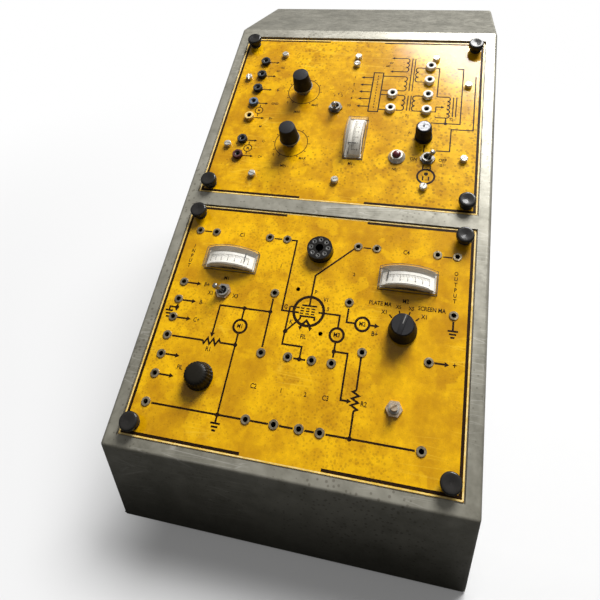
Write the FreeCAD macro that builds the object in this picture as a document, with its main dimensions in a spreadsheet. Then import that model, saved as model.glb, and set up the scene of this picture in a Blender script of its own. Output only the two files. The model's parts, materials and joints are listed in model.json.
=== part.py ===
import FreeCAD, Part
import math
import os

import Sketcher
from FreeCAD import Vector

# Training console: a sloping steel case with a power-supply panel above a tube panel.
# Millimetres. X runs to the right, Y to the back, Z up; the origin is under the middle of the case.
DOC = FreeCAD.newDocument("training_console")
SIZES = DOC.addObject("Spreadsheet::Sheet", "Sizes")
NODES = {}
ROUND_STEPS = 3


class Length:
    """A size with the sheet expression that drives it, so that sums of sizes stay bound to the sheet."""

    def __init__(self, value, text):
        self.value = value
        self.text = text

    def __add__(self, other):
        return Length(self.value + as_length(other).value, f"({self.text} + {as_length(other).text})")

    def __sub__(self, other):
        return Length(self.value - as_length(other).value, f"({self.text} - {as_length(other).text})")

    def __mul__(self, other):
        return Length(self.value * as_length(other).value, f"({self.text} * {as_length(other).text})")

    def __truediv__(self, other):
        return Length(self.value / as_length(other).value, f"({self.text} / {as_length(other).text})")

    def __radd__(self, other):
        return as_length(other) + self

    def __rsub__(self, other):
        return as_length(other) - self

    def __rmul__(self, other):
        return as_length(other) * self

    def __neg__(self):
        return Length(-self.value, f"(-{self.text})")

    def sine(self):
        return Length(math.sin(math.radians(self.value)), f"sin({self.text} * 1 deg)")

    def cosine(self):
        return Length(math.cos(math.radians(self.value)), f"cos({self.text} * 1 deg)")


def as_length(value):
    if isinstance(value, Length):
        return value
    return Length(float(value), repr(float(value)))


def cell(name, value):
    """Write one driving size into the next row of the sheet and hand it back."""
    row = len(SIZES.getUsedCells()) // 2 + 1
    SIZES.set(f"A{row}", "'" + name)
    SIZES.set(f"B{row}", str(value))
    SIZES.setAlias(f"B{row}", name)
    return Length(float(value), f"Sizes.{name}")


# Case
quarter_turn = cell("quarter_turn", 90)
case_width = cell("case_width", 330)
front_height = cell("front_height", 107)
face_length = cell("face_length", 530)
face_angle = cell("face_angle", 30)
top_depth = cell("top_depth", 160)
sheet_gauge = cell("sheet_gauge", 1.5)
fold_radius = cell("fold_radius", 4)
base_flange = cell("base_flange", 16)
foot_height = cell("foot_height", 3)
foot_radius = cell("foot_radius", 9)
foot_inset = cell("foot_inset", 30)
foot_taper = cell("foot_taper", 1)
plate_clearance = cell("plate_clearance", 1)
base_screw_radius = cell("base_screw_radius", 2)
base_screw_head = cell("base_screw_head", 4)
base_screw_rise = cell("base_screw_rise", 2)
cord_hole_side = cell("cord_hole_side", 95)
cord_hole_height = cell("cord_hole_height", 55)
cord_bore = cell("cord_bore", 4)
grommet_wall = cell("grommet_wall", 2.5)
grommet_lip = cell("grommet_lip", 2.5)

# Panels and the bay frames that carry them
side_rail = cell("side_rail", 14)
front_rail = cell("front_rail", 11.5)
middle_rail = cell("middle_rail", 18)
top_rail = cell("top_rail", 16.5)
panel_width = case_width - side_rail * 2
panel_height = (face_length - front_rail - middle_rail - top_rail) / 2
lower_middle = front_rail + panel_height / 2
upper_middle = lower_middle + panel_height + middle_rail
panel_thickness = cell("panel_thickness", 1.6)
panel_gap = cell("panel_gap", 1.2)
upper_top_gap = cell("upper_top_gap", 3)
frame_gauge = cell("frame_gauge", 1.5)
frame_lip = cell("frame_lip", 6)
ledge_width = cell("ledge_width", 8)
corner_tab = cell("corner_tab", 24)

# Pull-knob fasteners
fastener_inset = cell("fastener_inset", 11)
barrel_radius = cell("barrel_radius", 4.7)
barrel_depth = cell("barrel_depth", 11)
barrel_lead = cell("barrel_lead", 0.6)
barrel_lead_length = cell("barrel_lead_length", 2)
hole_clearance = cell("hole_clearance", 0.3)
ledge_clearance = cell("ledge_clearance", 0.8)
collar_radius = cell("collar_radius", 6.5)
collar_height = cell("collar_height", 1.5)
small_edge = cell("small_edge", 0.5)
plunger_bore = cell("plunger_bore", 2.6)
running_gap = cell("running_gap", 0.05)
rest_gap = cell("rest_gap", 0.3)
plunger_tip = cell("plunger_tip", 2)
plunger_lead = cell("plunger_lead", 0.8)
neck_radius = cell("neck_radius", 5.7)
neck_top = cell("neck_top", 6.8)
neck_taper = cell("neck_taper", 0.6)
head_radius = cell("head_radius", 8.7)
head_top = cell("head_top", 12)
head_edge = cell("head_edge", 1.6)
head_dish = cell("head_dish", 0.8)
head_land = cell("head_land", 2.6)

# Raised jacks of the upper panel, in columns and rows about the panel's middle
jack_radius = cell("jack_radius", 5.8)
jack_rise = cell("jack_rise", 4.6)
jack_edge = cell("jack_edge", 0.6)
jack_bore = cell("jack_bore", 2.1)
jack_mouth = cell("jack_mouth", 3.4)
jack_mouth_depth = cell("jack_mouth_depth", 1.3)
jack_barrel = cell("jack_barrel", 3.8)
jack_depth = cell("jack_depth", 12)
jack_nut_flats = cell("jack_nut_flats", 10)
jack_nut_height = cell("jack_nut_height", 2.2)
thread_gap = cell("thread_gap", 0.1)
dark_inset = cell("dark_inset", 32.5)
dark_offset = dark_inset - panel_width / 2
white_inner_offset = cell("white_inner_offset", 48.5)
white_outer_offset = cell("white_outer_offset", 89.7)
jack_row_first = cell("jack_row_first", 78.6)
jack_row_pitch = cell("jack_row_pitch", 22.6)
jack_row_sixth = cell("jack_row_sixth", -46)

# Upper-panel screws and the chassis tray that hangs on them
screw_radius = cell("screw_radius", 4.1)
screw_rise = cell("screw_rise", 4.6)
screw_edge = cell("screw_edge", 0.8)
screw_shank = cell("screw_shank", 2)
screw_depth = cell("screw_depth", 7)
screw_slot = cell("screw_slot", 1.1)
screw_slot_depth = cell("screw_slot_depth", 1.4)
screw_angle = cell("screw_angle", 40)
screw_inset = cell("screw_inset", 56)
screw_span = panel_width / 2 - screw_inset
screw_row_top = cell("screw_row_top", 91.5)
screw_row_base = cell("screw_row_base", -93.5)
screw_side_inset = cell("screw_side_inset", 16.5)
screw_side = panel_width / 2 - screw_side_inset
screw_side_top = cell("screw_side_top", 51)
screw_side_base = cell("screw_side_base", -54.5)
strap_screw_row = cell("strap_screw_row", 79)
tray_gauge = cell("tray_gauge", 1.2)
tray_depth = cell("tray_depth", 58)
tray_flange = cell("tray_flange", 13)
tray_relief = cell("tray_relief", 16)
tray_wall_inset = cell("tray_wall_inset", 6)

# Rotary controls, their nuts, knobs and shafts
bushing_radius = cell("bushing_radius", 4.7)
bushing_rise = cell("bushing_rise", 4.6)
shaft_radius = cell("shaft_radius", 3.15)
control_nut_flats = cell("control_nut_flats", 13)
control_nut_height = cell("control_nut_height", 2.4)
knob_gap = cell("knob_gap", 0.6)
knob_socket = cell("knob_socket", 8.4)
knob_socket_rise = cell("knob_socket_rise", 5.4)
pot_radius = cell("pot_radius", 14)
pot_depth = cell("pot_depth", 15)
voltage_offset = cell("voltage_offset", -59.3)
voltage_row_top = cell("voltage_row_top", 33)
voltage_row_base = cell("voltage_row_base", -46)
voltage_skirt = cell("voltage_skirt", 12.6)
voltage_skirt_top = cell("voltage_skirt_top", 3.4)
voltage_grip_base = cell("voltage_grip_base", 10.2)
voltage_grip_top = cell("voltage_grip_top", 8.5)
voltage_rise = cell("voltage_rise", 29)
knob_edge = cell("knob_edge", 0.9)
knob_waist = cell("knob_waist", 3.6)
shaft_stop = cell("shaft_stop", 3)
control_inset = cell("control_inset", 61)
control_offset = panel_width / 2 - control_inset
selector_row = cell("selector_row", 9.5)
selector_base = cell("selector_base", 13.2)
selector_top = cell("selector_top", 10.6)
selector_rise = cell("selector_rise", 18.5)
selector_can = cell("selector_can", 17)
selector_depth = cell("selector_depth", 22)
pointer_groove = cell("pointer_groove", 1.2)
pointer_groove_depth = cell("pointer_groove_depth", 0.5)
selector_angle = cell("selector_angle", -15)
resistor_row = cell("resistor_row", -60.5)
fluted_radius = cell("fluted_radius", 13.6)
fluted_rise = cell("fluted_rise", 15)
flute_radius = cell("flute_radius", 2.2)
screen_shaft_rise = cell("screen_shaft_rise", 11)
screen_slot = cell("screen_slot", 1.1)
screen_angle = cell("screen_angle", 35)
screen_slot_depth = cell("screen_slot_depth", 1.6)

# Toggle switches
switch_length = cell("switch_length", 27)
switch_width = cell("switch_width", 13)
switch_depth = cell("switch_depth", 18)
collar_tube = cell("collar_tube", 5.9)
collar_tube_rise = cell("collar_tube_rise", 5)
collar_tube_bore = cell("collar_tube_bore", 4.4)
lever_well = cell("lever_well", 7)
switch_nut_flats = cell("switch_nut_flats", 14.3)
switch_nut_height = cell("switch_nut_height", 2.2)
pivot_height = cell("pivot_height", 1)
pivot_radius = cell("pivot_radius", 0.8)
lever_root = cell("lever_root", 1.9)
lever_tail = cell("lever_tail", 5.5)
lever_tip = cell("lever_tip", 2.9)
lever_edge = cell("lever_edge", 0.7)
lever_waist = cell("lever_waist", 4.5)
lever_round = cell("lever_round", 1.6)
lever_land = cell("lever_land", 2.2)
lever_rise = cell("lever_rise", 15)
lever_angle = cell("lever_angle", 23)
output_switch_offset = cell("output_switch_offset", -16)
output_switch_row = cell("output_switch_row", 9)
power_switch_offset = cell("power_switch_offset", 96.5)
power_switch_row = cell("power_switch_row", -56.2)
grid_switch_row = cell("grid_switch_row", 25)

# Pilot lamp and fuse post
pilot_offset = cell("pilot_offset", 63.2)
pilot_flange = cell("pilot_flange", 9.3)
pilot_rise = cell("pilot_rise", 5)
pilot_crown = cell("pilot_crown", 6.4)
pilot_step = cell("pilot_step", 1)
pilot_flange_height = cell("pilot_flange_height", 1.2)
pilot_barrel = cell("pilot_barrel", 7)
pilot_depth = cell("pilot_depth", 20)
jewel_radius = cell("jewel_radius", 4.8)
jewel_rise = cell("jewel_rise", 8.6)
jewel_seat = cell("jewel_seat", 2)
jewel_round = cell("jewel_round", 3.8)
fuse_offset = cell("fuse_offset", 89.7)
fuse_row = cell("fuse_row", -27)
fuse_collar = cell("fuse_collar", 9.7)
fuse_collar_rise = cell("fuse_collar_rise", 3)
fuse_barrel = cell("fuse_barrel", 6.4)
fuse_depth = cell("fuse_depth", 38)
fuse_bore = cell("fuse_bore", 4.05)
fuse_floor = cell("fuse_floor", 3)
cap_stem = cell("cap_stem", 20)
cap_radius = cell("cap_radius", 8.8)
cap_crown = cell("cap_crown", 8.3)
cap_rise = cell("cap_rise", 19.5)

# Edgewise meters: everything is struck from the pointer's pivot axis
meter_length = cell("meter_length", 55.5)
meter_width = cell("meter_width", 21.5)
pivot_depth = cell("pivot_depth", 23.7)
cover_radius = cell("cover_radius", 40.7)
cover_wall = cell("cover_wall", 1.2)
scale_radius = cell("scale_radius", 37)
scale_gauge = cell("scale_gauge", 1)
scale_width = cell("scale_width", 12.6)
scale_shift = cell("scale_shift", -1.6)
case_end_inset = cell("case_end_inset", 2.75)
case_side_inset = cell("case_side_inset", 2.25)
meter_case_length = meter_length - case_end_inset * 2
meter_case_width = meter_width - case_side_inset * 2
meter_case_wall = cell("meter_case_wall", 1.5)
meter_case_depth = cell("meter_case_depth", 33)
meter_pin = cell("meter_pin", 1)
needle_hub = cell("needle_hub", 2.6)
needle_hub_width = cell("needle_hub_width", 2)
needle_arm = cell("needle_arm", 1)
needle_gauge = cell("needle_gauge", 0.8)
needle_shift = cell("needle_shift", 5.7)
needle_tip_radius = cell("needle_tip_radius", 37.7)
needle_tip_gauge = cell("needle_tip_gauge", 0.6)
needle_tip_length = cell("needle_tip_length", 9)
supply_meter_offset = cell("supply_meter_offset", 14.7)
supply_meter_row = cell("supply_meter_row", -35)
supply_needle_angle = cell("supply_needle_angle", -22)
meter_inset = cell("meter_inset", 61)
meter_offset = panel_width / 2 - meter_inset
meter_row = cell("meter_row", 58.4)
left_needle_angle = cell("left_needle_angle", 26)
right_needle_angle = cell("right_needle_angle", -30)

# Lower-panel jacks and tube socket
ring_radius = cell("ring_radius", 4.5)
ring_rise = cell("ring_rise", 1)
ring_edge = cell("ring_edge", 0.4)
ring_bore = cell("ring_bore", 2.3)
ring_barrel = cell("ring_barrel", 3.4)
ring_depth = cell("ring_depth", 9)
ring_nut_radius = cell("ring_nut_radius", 5)
ring_nut_height = cell("ring_nut_height", 2.4)
ring_pitch = cell("ring_pitch", 18.75)
ring_inset = cell("ring_inset", 16.5)
ring_offset = panel_width / 2 - ring_inset
ring_inner_offset = cell("ring_inner_offset", 37.3)
ring_cathode_offset = cell("ring_cathode_offset", 11.4)
ring_screen_offset = cell("ring_screen_offset", 29.9)
ring_end_inset = cell("ring_end_inset", 31)
ring_row = panel_height / 2 - ring_end_inset
ring_middle_row = cell("ring_middle_row", 30)
ring_output_row = cell("ring_output_row", -16)
shield_hole_radius = cell("shield_hole_radius", 1.8)
shield_hole_side = cell("shield_hole_side", 15)
shield_hole_row = cell("shield_hole_row", 16.5)
shield_hole_rise = cell("shield_hole_rise", 20.6)
socket_row = cell("socket_row", 80.3)
socket_radius = cell("socket_radius", 12.8)
socket_rise = cell("socket_rise", 9.5)
socket_depth = cell("socket_depth", 9)
socket_flange = cell("socket_flange", 16)
socket_flange_height = cell("socket_flange_height", 2)
socket_pin_circle = cell("socket_pin_circle", 8.72)
socket_pin_bore = cell("socket_pin_bore", 1.3)
socket_pin_depth = cell("socket_pin_depth", 11)
socket_key_bore = cell("socket_key_bore", 4)
socket_key_width = cell("socket_key_width", 2)
socket_key_reach = cell("socket_key_reach", 1.2)

# Supply components under the chassis tray
core_length = cell("core_length", 66)
core_height = cell("core_height", 55)
core_stack = cell("core_stack", 30)
core_limb = cell("core_limb", 20)
core_window = cell("core_window", 11.5)
coil_clearance = cell("coil_clearance", 0.3)
coil_overhang = cell("coil_overhang", 11)
core_side = cell("core_side", 62)
core_row = cell("core_row", 20)
can_radius = cell("can_radius", 12.5)
can_height = cell("can_height", 50)
can_crimp = cell("can_crimp", 1.2)
can_crimp_height = cell("can_crimp_height", 5.5)
can_edge = cell("can_edge", 1)
can_pitch = cell("can_pitch", 34)
can_side = cell("can_side", -30)
can_row = cell("can_row", -30)

CASE_DEPTH = face_length * face_angle.cosine() + top_depth
FOLD_Y = -(CASE_DEPTH + grommet_lip) / 2
CASE_BACK = FOLD_Y + CASE_DEPTH
CASE_MIDDLE = (FOLD_Y + CASE_BACK) / 2
FOLD_Z = foot_height + front_height
CREST_Z = FOLD_Z + face_length * face_angle.sine()
PANEL_TOP = panel_thickness - sheet_gauge - frame_gauge
DOC.recompute()


def bind(thing, name, length):
    thing.setExpression(name, as_length(length).text)


def placement(x, y, z, axis="0; 0; 1", angle=0):
    """The expression of a placement that moves to a point and turns about one axis."""
    point = "; ".join(as_length(value).text for value in (x, y, z))
    return f"placement(vector({point}); rotation(vector({axis}); {as_length(angle).text}))"


def datum(name, text):
    frame = DOC.addObject("App::Placement", name)
    frame.setExpression("Placement", text)
    return name


# The sloping face has its own frame at the front fold; each panel has one at its middle, on its printed side.
FACE = datum("FaceFrame", placement(0, FOLD_Y, FOLD_Z, "1; 0; 0", face_angle))
UPPER = datum("UpperFrame", "FaceFrame.Placement * " + placement(0, upper_middle, PANEL_TOP))
LOWER = datum("LowerFrame", "FaceFrame.Placement * " + placement(0, lower_middle, PANEL_TOP))


def place(thing, frame, u=0, v=0, n=0, axis="0; 0; 1", angle=0):
    thing.setExpression("Placement", f"{frame}.Placement * " + placement(u, v, n, axis, angle))


def node(label, thing):
    """Name a finished piece and list it for export."""
    thing.Label = label
    NODES[label] = thing
    return thing


def new_body(name):
    return DOC.addObject("PartDesign::Body", name)


def new_sketch(body, role="XY_Plane", lift=0):
    plane = next(item for item in body.Origin.OriginFeatures if item.Role == role)
    sketch = body.newObject("Sketcher::SketchObject", body.Name + "_sketch")
    sketch.AttachmentSupport = [(plane, "")]
    sketch.MapMode = "FlatFace"
    bind(sketch, "AttachmentOffset.Base.z", lift)
    return sketch


def fix(sketch, kind, places, length):
    """Add one constraint and drive it from the sheet."""
    index = sketch.addConstraint(Sketcher.Constraint(kind, *places, as_length(length).value))
    bind(sketch, f"Constraints[{index}]", length)


def outline(sketch, points):
    """A closed outline of straight lines through points that are each held by their two sizes."""
    corners = [Vector(as_length(x).value, as_length(y).value, 0) for x, y in points]
    first = sketch.GeometryCount
    count = len(points)
    for index, corner in enumerate(corners):
        sketch.addGeometry(Part.LineSegment(corner, corners[(index + 1) % count]))
    for index, (x, y) in enumerate(points):
        line = first + index
        sketch.addConstraint(Sketcher.Constraint("Coincident", line, 2, first + (index + 1) % count, 1))
        fix(sketch, "DistanceX", (-1, 1, line, 1), x)
        fix(sketch, "DistanceY", (-1, 1, line, 1), y)
    return sketch


def rectangle(sketch, x, y, width, height):
    left = x - width / 2
    right = x + width / 2
    base = y - height / 2
    top = y + height / 2
    return outline(sketch, [(left, base), (right, base), (right, top), (left, top)])


def circle(sketch, x, y, radius):
    centre = Vector(as_length(x).value, as_length(y).value, 0)
    index = sketch.addGeometry(Part.Circle(centre, Vector(0, 0, 1), as_length(radius).value))
    fix(sketch, "DistanceX", (-1, 1, index, 3), x)
    fix(sketch, "DistanceY", (-1, 1, index, 3), y)
    fix(sketch, "Radius", (index,), radius)
    return sketch


def hexagon(sketch, flats):
    corner = flats / math.sqrt(3)
    angles = [math.radians(60 * side) for side in range(6)]
    return outline(sketch, [(corner * math.cos(angle), corner * math.sin(angle)) for angle in angles])


def arch(sketch, width, radius, base):
    """An outline with upright sides and a round top struck from the meter's pivot axis."""
    half = width / 2
    depth = -as_length(pivot_depth)
    rise = depth.value + math.sqrt(radius.value ** 2 - half.value ** 2)
    corners = [Vector(-half.value, rise, 0), Vector(-half.value, as_length(base).value, 0)]
    corners += [Vector(half.value, as_length(base).value, 0), Vector(half.value, rise, 0)]
    first = sketch.GeometryCount
    for index in range(3):
        sketch.addGeometry(Part.LineSegment(corners[index], corners[index + 1]))
    crown = Part.Arc(corners[3], Vector(0, depth.value + radius.value, 0), corners[0])
    sketch.addGeometry(crown)
    for index in range(3):
        sketch.addConstraint(Sketcher.Constraint("Coincident", first + index, 2, first + index + 1, 1))
    sketch.addConstraint(Sketcher.Constraint("Coincident", first + 3, 2, first, 1))
    sketch.addConstraint(Sketcher.Constraint("Vertical", first))
    sketch.addConstraint(Sketcher.Constraint("Horizontal", first + 1))
    sketch.addConstraint(Sketcher.Constraint("Vertical", first + 2))
    fix(sketch, "DistanceY", (-1, 1, first + 1, 1), base)
    fix(sketch, "DistanceX", (-1, 1, first + 1, 1), -half)
    fix(sketch, "DistanceX", (-1, 1, first + 1, 2), half)
    fix(sketch, "DistanceX", (-1, 1, first + 3, 3), 0)
    fix(sketch, "DistanceY", (-1, 1, first + 3, 3), depth)
    fix(sketch, "Radius", (first + 3,), radius)
    return sketch


def feature(kind, sketch, length, symmetric=False, flip=False):
    """Pad or pocket a sketch; a pocket has to take material away and a pad has to add some."""
    body = sketch.getParentGeoFeatureGroup()
    before = body.Shape.Volume if body.Tip and body.Tip.isDerivedFrom("PartDesign::Feature") else 0
    item = body.newObject(f"PartDesign::{kind}", f"{body.Name}_{kind.lower()}")
    item.Profile = sketch
    item.SideType = "Symmetric" if symmetric else "One side"
    item.Reversed = flip
    bind(item, "Length", length)
    DOC.recompute()
    grew = body.Shape.Volume - before
    if (kind == "Pad" and grew <= 0) or (kind == "Pocket" and grew >= 0):
        raise RuntimeError(f"{item.Name} changes nothing")
    return item


def pad(sketch, length, symmetric=False):
    return feature("Pad", sketch, length, symmetric)


def pocket(sketch, length, symmetric=False):
    return feature("Pocket", sketch, length, symmetric)


def turned(name, points):
    """A body turned about its Z axis from a half profile of radius and height pairs."""
    body = new_body(name)
    sketch = outline(new_sketch(body, "XZ_Plane"), points)
    revolution = body.newObject("PartDesign::Revolution", name + "_turned")
    revolution.Profile = sketch
    revolution.ReferenceAxis = (sketch, ["V_Axis"])
    revolution.Angle = 360
    DOC.recompute()
    return body


def round_edges(body, radius, wanted):
    """Fillet the edges of a body that a test picks out."""
    base = body.Tip
    names = [f"Edge{index + 1}" for index, edge in enumerate(base.Shape.Edges) if wanted(edge)]
    fillet = body.newObject("PartDesign::Fillet", body.Name + "_rounded")
    fillet.Base = (base, names)
    bind(fillet, "Radius", radius)
    DOC.recompute()
    return fillet


def rounded(radius, height, edge):
    """Points of a stepped quarter round over the top edge of a turned piece."""
    turns = [quarter_turn * step / ROUND_STEPS for step in range(ROUND_STEPS + 1)]
    return [(radius - edge + edge * turn.cosine(), height - edge + edge * turn.sine()) for turn in turns]


def copies(label, master, frame, places):
    """One node of separate solids: the same piece at each place on a panel."""
    links = []
    for u, v, *turn in places:
        link = DOC.addObject("App::Link", f"{label}_{len(links) + 1}")
        link.LinkedObject = master
        link.setExpression("Placement", placement(u, v, 0, "0; 0; 1", *turn))
        links.append(link)
    group = DOC.addObject("Part::Compound", label)
    group.Links = links
    group.setExpression("Placement", f"{frame}.Placement")
    return node(label, group)


def gather(label, pieces, frame, u, v, angle=0):
    """One node of different solids that turn or sit together."""
    group = DOC.addObject("Part::Compound", label)
    group.Links = pieces
    place(group, frame, u, v, 0, "0; 0; 1", angle)
    return node(label, group)


# Welded case: the side profile across the width, rounded at every fold, hollowed from below.
def case_block(name, wall, base):
    """The console's outer form drawn in by a wall all round, down to a base level."""
    body = new_body(name)
    tangent = face_angle.sine() / face_angle.cosine()
    front = FOLD_Y + wall
    top = CREST_Z - wall
    fold = FOLD_Z + wall * tangent - wall / face_angle.cosine()
    crest = front + (top - fold) / tangent
    back = CASE_BACK - wall
    profile = new_sketch(body, "YZ_Plane")
    outline(profile, [(front, base), (back, base), (back, top), (crest, top), (front, fold)])
    pad(profile, case_width - wall * 2, symmetric=True)
    level = as_length(base).value
    round_edges(body, fold_radius - wall, lambda edge: edge.BoundBox.ZMax > level + 0.01)
    return body


case = case_block("case_shell", as_length(0), foot_height)
hollow = case.newObject("PartDesign::Boolean", "case_hollow")
hollow.Type = "Cut"
hollow.setObjects([case_block("case_inside", sheet_gauge, foot_height - sheet_gauge)])
case.Tip = hollow
DOC.recompute()

# Windows in the face, one for each panel.
window_width = panel_width + panel_gap * 2
lower_window = panel_height + panel_gap * 2
upper_window = panel_height + panel_gap + upper_top_gap
upper_window_middle = upper_middle + (upper_top_gap - panel_gap) / 2
windows = new_sketch(case)
windows.setExpression("AttachmentOffset.Base.z", None)
windows.setExpression("AttachmentOffset", placement(0, FOLD_Y, FOLD_Z, "1; 0; 0", face_angle))
rectangle(windows, 0, lower_middle, window_width, lower_window)
rectangle(windows, 0, upper_window_middle, window_width, upper_window)
pocket(windows, sheet_gauge * 2)

# Turned-in flange round the foot of the case, and the hole for the supply cord in the back.
rim = new_sketch(case, lift=foot_height)
rectangle(rim, 0, CASE_MIDDLE, case_width - sheet_gauge, CASE_DEPTH - sheet_gauge)
rectangle(rim, 0, CASE_MIDDLE, case_width - base_flange * 2, CASE_DEPTH - base_flange * 2)
pad(rim, sheet_gauge)
cord_hole = new_sketch(case, "XZ_Plane", -CASE_BACK)
circle(cord_hole, cord_hole_side, cord_hole_height, cord_bore + grommet_wall)
pocket(cord_hole, sheet_gauge * 4, symmetric=True)
screw_x = case_width / 2 - base_flange / 2
screw_y = CASE_DEPTH / 2 - base_flange / 2
base_places = [(x, CASE_MIDDLE + y) for x in (-screw_x, screw_x) for y in (-screw_y, 0, screw_y)]
base_holes = new_sketch(case, lift=foot_height + sheet_gauge)
for x, y in base_places:
    circle(base_holes, x, y, base_screw_radius + thread_gap)
pocket(base_holes, sheet_gauge * 2)
node("case_shell", case)

# Bottom plate, resting on the flange inside the case, with its screws and feet.
plate_base = foot_height + sheet_gauge
plate = new_body("bottom_plate")
plate_outline = new_sketch(plate, lift=plate_base)
plate_width = case_width - (sheet_gauge + plate_clearance) * 2
plate_length = CASE_DEPTH - (sheet_gauge + plate_clearance) * 2
rectangle(plate_outline, 0, CASE_MIDDLE, plate_width, plate_length)
for x, y in base_places:
    circle(plate_outline, x, y, base_screw_radius + thread_gap)
pad(plate_outline, sheet_gauge)
node("bottom_plate", plate)

base_screw = turned("base_screw", [
    (0, foot_height - base_screw_rise), (base_screw_head, foot_height - base_screw_rise),
    (base_screw_head, foot_height), (base_screw_radius, foot_height),
    (base_screw_radius, plate_base + sheet_gauge * 3), (0, plate_base + sheet_gauge * 3)])
DOC.recompute()
datum("FloorFrame", placement(0, 0, 0))
copies("base_screws", base_screw, "FloorFrame", base_places)

foot = turned("rubber_foot", [(0, 0), (foot_radius - foot_taper, 0), (foot_radius, foot_height),
                              (foot_radius, plate_base), (0, plate_base)])
foot_x = case_width / 2 - foot_inset
foot_y = CASE_DEPTH / 2 - foot_inset
foot_places = [(x, CASE_MIDDLE + y) for x in (-foot_x, foot_x) for y in (-foot_y, foot_y)]
copies("rubber_feet", foot, "FloorFrame", foot_places)

# Rubber grommet for the supply cord, gripping the back wall in its groove.
groove = cord_bore + grommet_wall
cord_grommet = turned("cord_grommet", [
    (cord_bore, -sheet_gauge - grommet_lip), (groove + grommet_lip, -sheet_gauge - grommet_lip),
    (groove + grommet_lip, -sheet_gauge), (groove, -sheet_gauge), (groove, 0), (groove + grommet_lip, 0),
    (groove + grommet_lip, grommet_lip * 0.5), (groove, grommet_lip), (cord_bore, grommet_lip)])
cord_place = placement(cord_hole_side, CASE_BACK, cord_hole_height, "1; 0; 0", -quarter_turn)
cord_grommet.setExpression("Placement", cord_place)
node("cord_grommet", cord_grommet)


def bay_frame(label, middle, height, fastener_middle):
    """The stepped frame welded under a window: a lip under the face and a ledge that carries the panel."""
    frame = new_body(label)
    lip = new_sketch(frame, lift=-sheet_gauge - frame_gauge)
    rectangle(lip, 0, middle, window_width + frame_lip * 2, height + frame_lip * 2)
    rectangle(lip, 0, middle, window_width, height)
    pad(lip, frame_gauge)
    ledge = new_sketch(frame, lift=-sheet_gauge - frame_gauge * 2)
    rectangle(ledge, 0, middle, window_width + frame_lip * 2, height + frame_lip * 2)
    rectangle(ledge, 0, middle, window_width - ledge_width * 2, height - ledge_width * 2)
    pad(ledge, frame_gauge)
    tabs = new_sketch(frame, lift=-sheet_gauge - frame_gauge * 2)
    for across in (-1, 1):
        for along in (-1, 1):
            x = (window_width - corner_tab) / 2 * across
            y = middle + (height - corner_tab) / 2 * along
            rectangle(tabs, x, y, corner_tab, corner_tab)
    pad(tabs, frame_gauge)
    holes = new_sketch(frame, lift=-sheet_gauge - frame_gauge)
    for u, v in fastener_places:
        circle(holes, u, fastener_middle + v, barrel_radius + ledge_clearance)
    pocket(holes, frame_gauge * 2)
    place(frame, FACE)
    return node(label, frame)


fastener_u = panel_width / 2 - fastener_inset
fastener_v = panel_height / 2 - fastener_inset
fastener_places = [(-fastener_u, fastener_v), (fastener_u, fastener_v),
                   (-fastener_u, -fastener_v), (fastener_u, -fastener_v)]
bay_frame("upper_bay_frame", upper_window_middle, upper_window, upper_middle)
bay_frame("lower_bay_frame", lower_middle, lower_window, lower_middle)

# Fasteners: a flanged barrel stays in the panel, and a mushroom-headed plunger slides in it.
barrel = turned("fastener_barrel", [
    (plunger_bore, -barrel_depth), (barrel_radius - barrel_lead, -barrel_depth),
    (barrel_radius, barrel_lead_length - barrel_depth), (barrel_radius, 0), (collar_radius, 0),
    (collar_radius, collar_height - small_edge), (collar_radius - small_edge, collar_height),
    (plunger_bore, collar_height)])
copies("upper_grommets", barrel, UPPER, fastener_places)
copies("lower_grommets", barrel, LOWER, fastener_places)
pin = plunger_bore - running_gap
neck_base = collar_height + rest_gap
for panel, frame in (("upper", UPPER), ("lower", LOWER)):
    for index, (u, v) in enumerate(fastener_places):
        plunger = turned(f"{panel}_plunger_{index + 1}", [
            (0, -barrel_depth - plunger_tip), (pin - plunger_lead, -barrel_depth - plunger_tip),
            (pin, -barrel_depth), (pin, neck_base), (neck_radius, neck_base),
            (neck_radius - neck_taper, neck_top), (head_radius, neck_top),
            *rounded(head_radius, head_top, head_edge), (head_radius - head_land, head_top),
            (0, head_top - head_dish)])
        place(plunger, frame, u, v)
        node(f"{panel}_plunger_{index + 1}", plunger)


# Upper panel: a printed plate with a hole for everything that passes through it.
jack_rows = [jack_row_first - jack_row_pitch * index for index in range(5)]
jack_rows += [jack_row_sixth, jack_row_sixth - jack_row_pitch]
dark_places = [(dark_offset, row) for row in jack_rows]
white_places = [(white_outer_offset, row) for row in jack_rows[:4]]
white_places += [(white_inner_offset, row) for row in jack_rows[2:4]]
screw_places = [(screw_span * side, row) for row in (screw_row_top, screw_row_base) for side in (-1, 0, 1)]
screw_places += [(screw_side * side, row) for row in (screw_side_top, screw_side_base) for side in (-1, 1)]
strap_place = (0, strap_screw_row)
voltage_places = [(voltage_offset, voltage_row_top), (voltage_offset, voltage_row_base)]
upper_switch_places = [(output_switch_offset, output_switch_row), (power_switch_offset, power_switch_row)]
pilot_place = (pilot_offset, power_switch_row)
fuse_place = (fuse_offset, fuse_row)


def panel_plate(label, frame, holes, cutouts):
    """A flat panel with round holes, given as places and a radius, and oblong meter cut-outs."""
    body = new_body(label)
    plate = new_sketch(body, lift=-panel_thickness)
    rectangle(plate, 0, 0, panel_width, panel_height)
    pad(plate, panel_thickness)
    drilled = new_sketch(body)
    for places, radius in holes:
        for u, v in places:
            circle(drilled, u, v, radius + hole_clearance)
    for u, v, width, height in cutouts:
        rectangle(drilled, u, v, width + hole_clearance * 2, height + hole_clearance * 2)
    pocket(drilled, panel_thickness * 2)
    place(body, frame)
    return node(label, body)


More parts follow.
